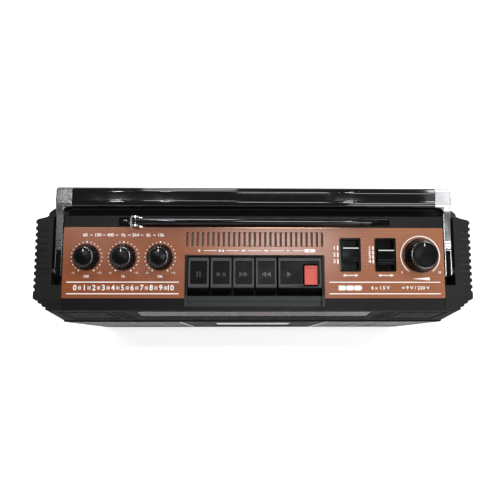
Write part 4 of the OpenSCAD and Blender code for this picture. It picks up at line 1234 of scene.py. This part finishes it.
@dataclass
class DeckDetails:
    """The pieces let into the deck round the antenna and under the sound slots."""

    trough_half: float = 130.6
    trough: Flat = (1.5, 9.1)
    trough_floor: float = -1.38
    lining: float = 0.35
    lining_round: float = 0.12
    gap: float = 0.6
    cloth_size: Point = (138.0, 17.0, 0.4)
    cloth_place: Flat = (-11.6, -3.05)
    screw: Flat = (1.9, 0.5)
    screw_round: float = 0.15
    screw_slot: Point = (3.0, 0.5, 0.12)
    slot_up: float = 0.48
    screw_up: float = 4.0

    def build(self) -> None:
        """Line the trough with a dark sheet of painted shade, back the slots with cloth and fix the antenna.
        """
        self.line_trough()
        blank = Blank()
        blank.block(self.cloth_size)
        blank.piece("slot_cloth", "cabinet", SLOT_CLOTH, DECK.matrix(0.0, *self.cloth_place))
        self.antenna_screws()

    def line_trough(self) -> None:
        """A gloss black strip along the antenna's trough, on both sides of its base: a dark sheet that paints
        the trough's shade.
        """
        blank, base, (low, high) = Blank(), Span.of("antenna_base"), self.trough
        for start, stop in ((-self.trough_half, base.low.x - self.gap),
                            (base.high.x + self.gap, self.trough_half)):
            blank.block((stop - start, high - low, self.lining), ((start + stop) / 2, (low + high) / 2, 0.0))
        blank.ease(self.lining_round)
        blank.piece("trough_lining", "cabinet", GLOSS, DECK.matrix(lift=self.trough_floor))

    def antenna_screws(self) -> None:
        """The slotted heads of the antenna's pivot, on both ears."""
        base = Span.of("antenna_base")
        for side, name, s in ((1, "rear", base.high.y), (-1, "front", base.low.y)):
            blank = Blank()
            blank.drum(*self.screw)
            blank.ease(self.screw_round)
            blank.block(self.screw_slot, (0.0, 0.0, self.slot_up))
            blank.piece("antenna_pivot_head_" + name, "cabinet", STEEL,
                        DECK.matrix(base.mid.x, s, self.screw_up) @ quarter(-side, "X"))


def quarter(turns: float, axis: str) -> Matrix:
    """A turn of so many right angles."""
    return Matrix.Rotation(math.radians(90 * turns), 4, axis)


@dataclass
class Handle:
    """Trim of the carrying handle."""

    inset: float = 4.5
    shorter: float = 6.0
    rib: Flat = (0.9, 0.35)
    rib_round: float = 0.15
    rib_under: float = 0.3
    pin: tuple[Flat, ...] = ((0.0, 0.55), (1.6, 0.42), (2.6, 0.12), (2.7, 0.0), (0.0, 0.0))
    pin_sides: int = 32

    def build(self) -> None:
        """Run the ribs along the grip's underside and set the pins' heads on the arms."""
        grip, blank = Span.of("handle_grip"), Blank()
        for s in (grip.low.y + self.inset, grip.high.y - self.inset):
            blank.block((grip.width - self.shorter, *self.rib), (0.0, s, 0.0))
        blank.ease(self.rib_round)
        blank.piece("grip_ribs", "handle", GLOSS, DECK.matrix(lift=grip.low.z - self.rib_under))
        mid = Span.of("handle_pins").mid
        for side, name in ((-1, "left"), (1, "right")):
            arm, head = Span.of(name + "_handle_arm"), Blank()
            head.turned(self.pin, self.pin_sides)
            spot = DECK.matrix(arm.low.x if side > 0 else arm.high.x, mid.y, mid.z)
            head.piece("pin_head_" + name, "handle", STEEL, spot @ quarter(-side, "Y"))


@dataclass
class Dial:
    """Printing on the tuning scale, behind its window."""

    style: Type = Type(2.6, 1.0, 0.02)
    tick: Flat = (0.35, 1.8)
    tick_in: float = 2.7
    place: float = 6.0
    margin: float = 10.0
    rule: float = 0.3
    rule_place: float = 2.6
    rule_longer: float = 6.0
    marks: Flat = (1.6, 0.9)
    bands: tuple[tuple[str, ...], ...] = (("88", "92", "96", "100", "104", "108"),
                                          ("540", "600", "700", "900", "1200", "1600"))
    steps: int = 50
    long_every: int = 5

    def build(self) -> None:
        """Print two bands of frequencies and a plain scale between them."""
        card, ink = Plane.on("dial_scale", DIAL_FACING), Print()
        half = Span.of("dial_scale", card).high.x - self.margin
        for side, texts in zip((1, -1), self.bands):
            ink.row(texts, self.style, (-half, side * self.place), 2 * half / (len(texts) - 1), self.tick,
                    drop=side * self.tick_in)
        for side in (-1, 1):
            ink.bar(2 * half + self.rule_longer, self.rule, 0.0, side * self.rule_place)
        for index in range(self.steps + 1):
            tall = self.marks[index % self.long_every > 0]
            ink.bar(self.rule, tall, -half + 2 * half * index / self.steps, 0.0)
        ink.lay("dial_print", card)


@dataclass
class Front:
    """Fine pieces of the speaker side."""

    cloth_margin: float = 10.0
    cloth_behind: float = 0.32
    trim: Point = (7.0, 0.9, 0.3)
    trim_sink: float = 0.05
    line_margin: float = 8.0
    line: float = 0.5
    gauge_type: Type = Type(1.9, 1.0, 0.02)
    gauge_start: Flat = (-16.0, -9.0)
    gauge_step: float = 8.0
    gauge_tick: Flat = (0.35, 1.6)
    gauge_drop: float = -2.6
    gauge_rule: Flat = (32.4, 0.35)
    rule_place: float = -5.6

    def build(self) -> None:
        """Back the grilles with cloth, trim them and print the door's window."""
        for node in ("left_grille", "right_grille"):
            face, blank = Plane.on(node, FRONT), Blank()
            span, (wider, band, rise) = Span.of(node, face), self.trim
            size = span.width - self.cloth_margin
            blank.block((size, size, rise), (span.mid.x, span.mid.y, 0.0))
            blank.piece(node + "_cloth", "cabinet", CLOTH, face.matrix(lift=span.low.z - self.cloth_behind))
            trim = Print(rise)
            trim.frame(size + wider, size + wider, band)
            trim.piece(node + "_trim", "cabinet", PLATED, face.matrix(lift=span.high.z - self.trim_sink))
        self.door_print()

    def door_print(self) -> None:
        """A plain tape gauge and a line frame on the door's window."""
        face, ink = Plane.on("door_window", FRONT), Print()
        span = Span.of("door_window", face)
        ink.frame(span.width - self.line_margin, span.depth - self.line_margin, self.line)
        ink.row(("0", "25", "50", "75", "100"), self.gauge_type, self.gauge_start, self.gauge_step,
                self.gauge_tick, drop=self.gauge_drop)
        ink.bar(*self.gauge_rule, 0.0, self.rule_place)
        ink.lay("door_window_print", face, "cassette_door")


@dataclass
class Back:
    """Fine pieces of the rear."""

    over: float = 5.0
    band: Flat = (3.0, 0.7)
    cup: Flat = (1.5, 2.6)
    cup_drop: float = 1.2
    wave: Flat = (1.8, 0.6)
    band_steps: int = 20
    wave_steps: int = 16
    arrow: tuple[Flat, ...] = ((-5.0, 4.0), (0.0, -4.0), (5.0, 4.0))
    arrow_rise: float = 0.4
    arrow_round: float = 0.12
    arrow_sink: float = 0.02
    arrow_drop: float = 20.0

    def build(self) -> None:
        """Mark the sockets and the battery door."""
        self.socket_signs()
        face, blank = Plane.on("battery_door", REAR), Blank()
        span = Span.of("battery_door", face)
        blank.plate(self.arrow, self.arrow_rise, (span.mid.x, span.high.y - self.arrow_drop, 0.0))
        blank.ease(self.arrow_round, 1)
        blank.piece("battery_door_arrow", "battery_door", CABINET, face.matrix(lift=-self.arrow_sink))

    def socket_signs(self) -> None:
        """A headband sign over the phones socket and a wave over the mains inlet."""
        wall, ink = Plane.on("rear_cabinet", REAR), Print()
        jack, inlet = Span.of("phones_jack", wall), Span.of("ac_inlet", wall)
        top, foot = jack.high.y + self.over, inlet.high.y + self.over
        ink.bow(*self.band, (0.0, math.pi), jack.mid.x, top, self.band_steps)
        for side in (-1, 1):
            ink.bar(*self.cup, jack.mid.x + side * self.band[0], top - self.cup_drop)
        for side, start in ((-1, 0.0), (1, math.pi)):
            ink.bow(*self.wave, (start, start + math.pi), inlet.mid.x + side * self.wave[0], foot,
                    self.wave_steps)
        ink.lay("socket_signs", wall, lift=Span.of("rear_cabinet", wall).high.z)


@dataclass
class Board:
    """Parts soldered to the main board."""

    resistors: int = 9
    resistor: Flat = (1.2, 6.4)
    resistor_place: Point = (26.0, 12.0, 1.3)
    resistor_step: float = 9.5
    capacitors: int = 6
    capacitor: Flat = (3.4, 7.0)
    capacitor_place: Flat = (30.0, 14.0)
    capacitor_step: float = 12.0
    transistors: int = 8
    transistor: Point = (4.6, 3.4, 4.6)
    transistor_place: Point = (-20.0, 16.0, 1.6)
    transistor_step: float = 9.0
    sides: tuple[int, int] = (10, 20)
    top_round: float = 0.4
    chip_round: float = 0.5

    def build(self) -> None:
        """Set the resistors, the capacitors' tops and the small transistors."""
        top = Plane.on("main_board", UP)
        span = Span.of("main_board", top)
        bodies, tops, chips, front, (few, many) = Blank(), Blank(), Blank(), span.low.y, self.sides
        x, s, lift = self.resistor_place
        for index in range(self.resistors):
            bodies.drum(*self.resistor, segments=few)
            spot = Matrix.Translation((span.low.x + x + index * self.resistor_step, front + s, lift))
            bmesh.ops.transform(bodies.mesh, verts=bodies.mesh.verts[-2 * few:],
                                matrix=spot @ quarter(1, "X"))
        x, s = self.capacitor_place
        for index in range(self.capacitors):
            tops.drum(*self.capacitor, (span.high.x - x - index * self.capacitor_step, front + s, 0.0), many)
        x, s, lift = self.transistor_place
        for index in range(self.transistors):
            chips.block(self.transistor, (x + index * self.transistor_step, front + s, lift))
        tops.ease(self.top_round)
        chips.ease(self.chip_round, 1)
        for name, blank, finish in (("resistors", bodies, RESISTOR), ("small_capacitors", tops, SLEEVE),
                                    ("small_transistors", chips, CASING)):
            blank.piece(name, "cabinet", finish, top.matrix())


@dataclass
class BatterySprings:
    """Coil springs on the battery contacts."""

    wire: float = 0.45
    radius: float = 4.7
    rise: float = 5.0
    turns: int = 4
    turn_steps: int = 20
    inset: float = 3.9
    height: float = 12.0
    wire_sides: int = 8

    def build(self) -> None:
        """Wind a spring at the lower contact of each end."""
        low, high = (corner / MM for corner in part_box("battery_contacts"))
        for side, name, x in ((-1, "left", low.x + self.inset), (1, "right", high.x - self.inset)):
            blank = Blank()
            self.coil(blank)
            spot = Matrix.Translation(Vector((x, (low.y + high.y) / 2, low.z + self.height)) * MM)
            blank.piece("battery_spring_" + name, "cabinet", PLATED,
                        spot @ quarter(-side, "Y") @ Matrix.Scale(MM, 4))

    def coil(self, blank: Blank) -> None:
        """One coil, from its foot up.

        Args:
            blank: where it is wound.
        """
        spot = Matrix.Translation((self.radius, 0.0, 0.0)) @ quarter(1, "X")
        ring = bmesh.ops.create_circle(blank.mesh, segments=self.wire_sides, radius=self.wire, matrix=spot)
        verts, steps = ring["verts"], self.turns * self.turn_steps
        edges = list({edge for vert in verts for edge in vert.link_edges})
        bmesh.ops.spin(blank.mesh, geom=[*verts, *edges], cent=ORIGIN, axis=UP,
                       dvec=(0.0, 0.0, self.rise / steps), angle=math.tau * self.turns, steps=steps,
                       use_merge=False)
        bmesh.ops.holes_fill(blank.mesh, edges=[edge for edge in blank.mesh.edges if edge.is_boundary],
                             sides=self.wire_sides)


# --------------- studio


@dataclass
class Lamp:
    """A soft lamp over the object."""

    name: str
    place: Point
    size: Flat
    power: float
    aim: Point = (0.0, 0.0, 0.15)

    def hang(self) -> None:
        """Hang the lamp and aim it, with its long side along the object's."""
        light = bpy.data.lights.new(self.name, "AREA")
        light.shape, light.energy = "RECTANGLE", self.power
        light.size, light.size_y = self.size
        lamp = stand(self.name, light)
        lamp.location = self.place
        back = (Vector(self.place) - Vector(self.aim)).normalized()
        across = (Vector((1.0, 0.0, 0.0)) - back * back.x).normalized()
        lamp.rotation_euler = Matrix((across, back.cross(across), back)).transposed().to_euler()


LAMPS = (
    Lamp("key_lamp", (0.20, -0.12, 1.9), (0.50, 0.34), 7.5),
    Lamp("fill_lamp", (0.9, -0.9, 1.3), (0.8, 0.8), 10.0),
    Lamp("rear_lamp", (-0.3, 1.4, 1.2), (0.5, 0.4), 10.0),
    Lamp("window_lamp", (1.2, 0.9, 1.5), (0.5, 0.5), 16.0),
    Lamp("corner_lamp", (1.18, 0.17, 1.9), (0.34, 0.45), 0.5),
    Lamp("left_spot", (-0.642, 0.25, 1.69), (0.05, 0.05), 2.4),
    Lamp("middle_spot", (-0.40, 0.25, 1.69), (0.05, 0.05), 1.8),
    Lamp("right_spot", (0.507, 0.25, 1.69), (0.05, 0.05), 1.8),
)


@dataclass
class Studio:
    """The floor, the lamps and the camera."""

    floor_half: float = 5.0
    floor_sides: int = 64
    floor_grey: float = 0.82
    floor_glow: float = 0.5
    wall_high: float = 3.2
    world_level: float = 0.15
    eye: Point = (-0.01012, -0.0856, 0.5321)
    look: Point = (14.07, -0.87, -0.11)
    lens: float = 26.9
    nearest: float = 0.02

    def build(self) -> None:
        """Set the whole studio up."""
        self.lay_floor()
        self.light_world()
        for lamp in LAMPS:
            lamp.hang()
        self.set_camera()
        bpy.context.scene.view_settings.view_transform = "Standard"

    def lay_floor(self) -> None:
        """Lay a plain pale floor with a wall round it."""
        mesh = bmesh.new()
        bmesh.ops.create_circle(mesh, cap_ends=True, segments=self.floor_sides, radius=self.floor_half)
        risen = bmesh.ops.extrude_edge_only(mesh, edges=[edge for edge in mesh.edges if edge.is_boundary])
        verts = [item for item in risen["geom"] if isinstance(item, bmesh.types.BMVert)]
        bmesh.ops.translate(mesh, verts=verts, vec=(0.0, 0.0, self.wall_high))
        show(mesh, "floor", self.floor_paint(), 0.0)

    def floor_paint(self) -> bpy.types.Material:
        """Matt white, a little brighter where it is seen."""
        shader = Shader("floor_white")
        path = shader.tree.nodes.new("ShaderNodeLightPath").outputs
        seen = shader.plus(path["Is Camera Ray"], path["Is Glossy Ray"])
        seen = shader.plus(seen, path["Is Transmission Ray"])
        shader.lay({"Base Color": grey(self.floor_grey), "Roughness": 0.95, "Specular IOR Level": 0.0,
                    "Emission Color": WHITE,
                    "Emission Strength": shader.spread(seen, 0.0, self.floor_glow, 0.0, 1.0)})
        return shader.material

    def light_world(self) -> None:
        """Fill the room with an even, dim light."""
        world = bpy.data.worlds.new("studio")
        world.use_nodes = True
        back = world.node_tree.nodes["Background"].inputs
        back["Color"].default_value = (*WHITE, 1.0)
        back["Strength"].default_value = self.world_level
        bpy.context.scene.world = world

    def set_camera(self) -> None:
        """Put the camera over the front of the set, looking down on its deck."""
        data = bpy.data.cameras.new("camera")
        data.lens, data.clip_start = self.lens, self.nearest
        camera = stand("camera", data)
        camera.location = self.eye
        camera.rotation_euler = Euler([math.radians(angle) for angle in self.look])
        bpy.context.scene.camera = camera


# --------------- object


# The CAD nodes by finish, with the width to which their edges are rounded; 0 leaves a node as it is.
LOOKS: tuple[tuple[Finish, float, str], ...] = (
    (CABINET, 0.35, "front_cabinet rear_cabinet"),
    (SHELL_LIP, 0.25, "top_deck"),
    (CHEEK, 0.3, "left_cheek right_cheek"),
    (COPPER, 0.15, "control_panel"),
    (KEY_SURROUND, 0.3, "key_frame"),
    (KEY, 0.3, "pause_key stop_eject_key fast_forward_key rewind_key play_key"),
    (RECORD_RED, 0.3, "record_key"),
    (GLOSS, 0.15, "bass_knob middle_knob treble_knob volume_knob tuning_knob"),
    (GLOSS, 0.15, "switch_bezels function_slider band_slider"),
    (GLOSS, 0.0, "handle_inlays"),
    (GRIP, 0.4, "handle_grip"),
    (PLATED_WORN, 0.3, "left_handle_arm"),
    (PLATED, 0.3, "right_handle_arm"),
    (CABINET, 0.35, "cassette_door"),
    (CABINET, 0.3, "battery_door"),
    (CABINET, 0.0, "ac_inlet"),
    (PLATED, 0.0, "antenna_base battery_contacts phones_jack"),
    (SMOKED, 0.0, "antenna_tube antenna_middle antenna_inner"),
    (TINTED, 0.0, "dial_window door_window"),
    (DIAL_CARD, 0.0, "dial_scale"),
    (POINTER_RED, 0.0, "dial_pointer"),
    (GRILLE, 0.0, "left_grille right_grille"),
    (PAPER, 0.0, "left_cone right_cone"),
    (STEEL, 0.0, "key_axle tone_controls handle_pins left_speaker right_speaker cabinet_screws"),
    (STEEL, 0.0, "tape_deck capstan tape_heads motor"),
    (ACETAL, 0.0, "supply_spindle take_up_spindle"),
    (RUBBER, 0.0, "pinch_roller drive_belt feet"),
    (BRASS, 0.0, "motor_pulley"),
    (BOARD, 0.0, "main_board"),
    (IRON, 0.0, "transformer"),
)
ASSEMBLIES = (PanelPrint, Keys, KnobTops, SliderLines, DeckDetails, Handle, Dial, Front, Back, Board,
              BatterySprings)


def main() -> None:
    """Build the studio and the object's fine pieces, in order."""
    Studio().build()
    for finish, _, nodes in LOOKS:
        for node in nodes.split():
            dress(node, finish)
    for assembly in ASSEMBLIES:
        LOG.info("building %s", assembly.__name__)
        assembly().build()
    for finish, width, nodes in LOOKS:
        for node in nodes.split() if width else ():
            Eased(node, finish, width).build()


if __name__ == "__main__":
    main()
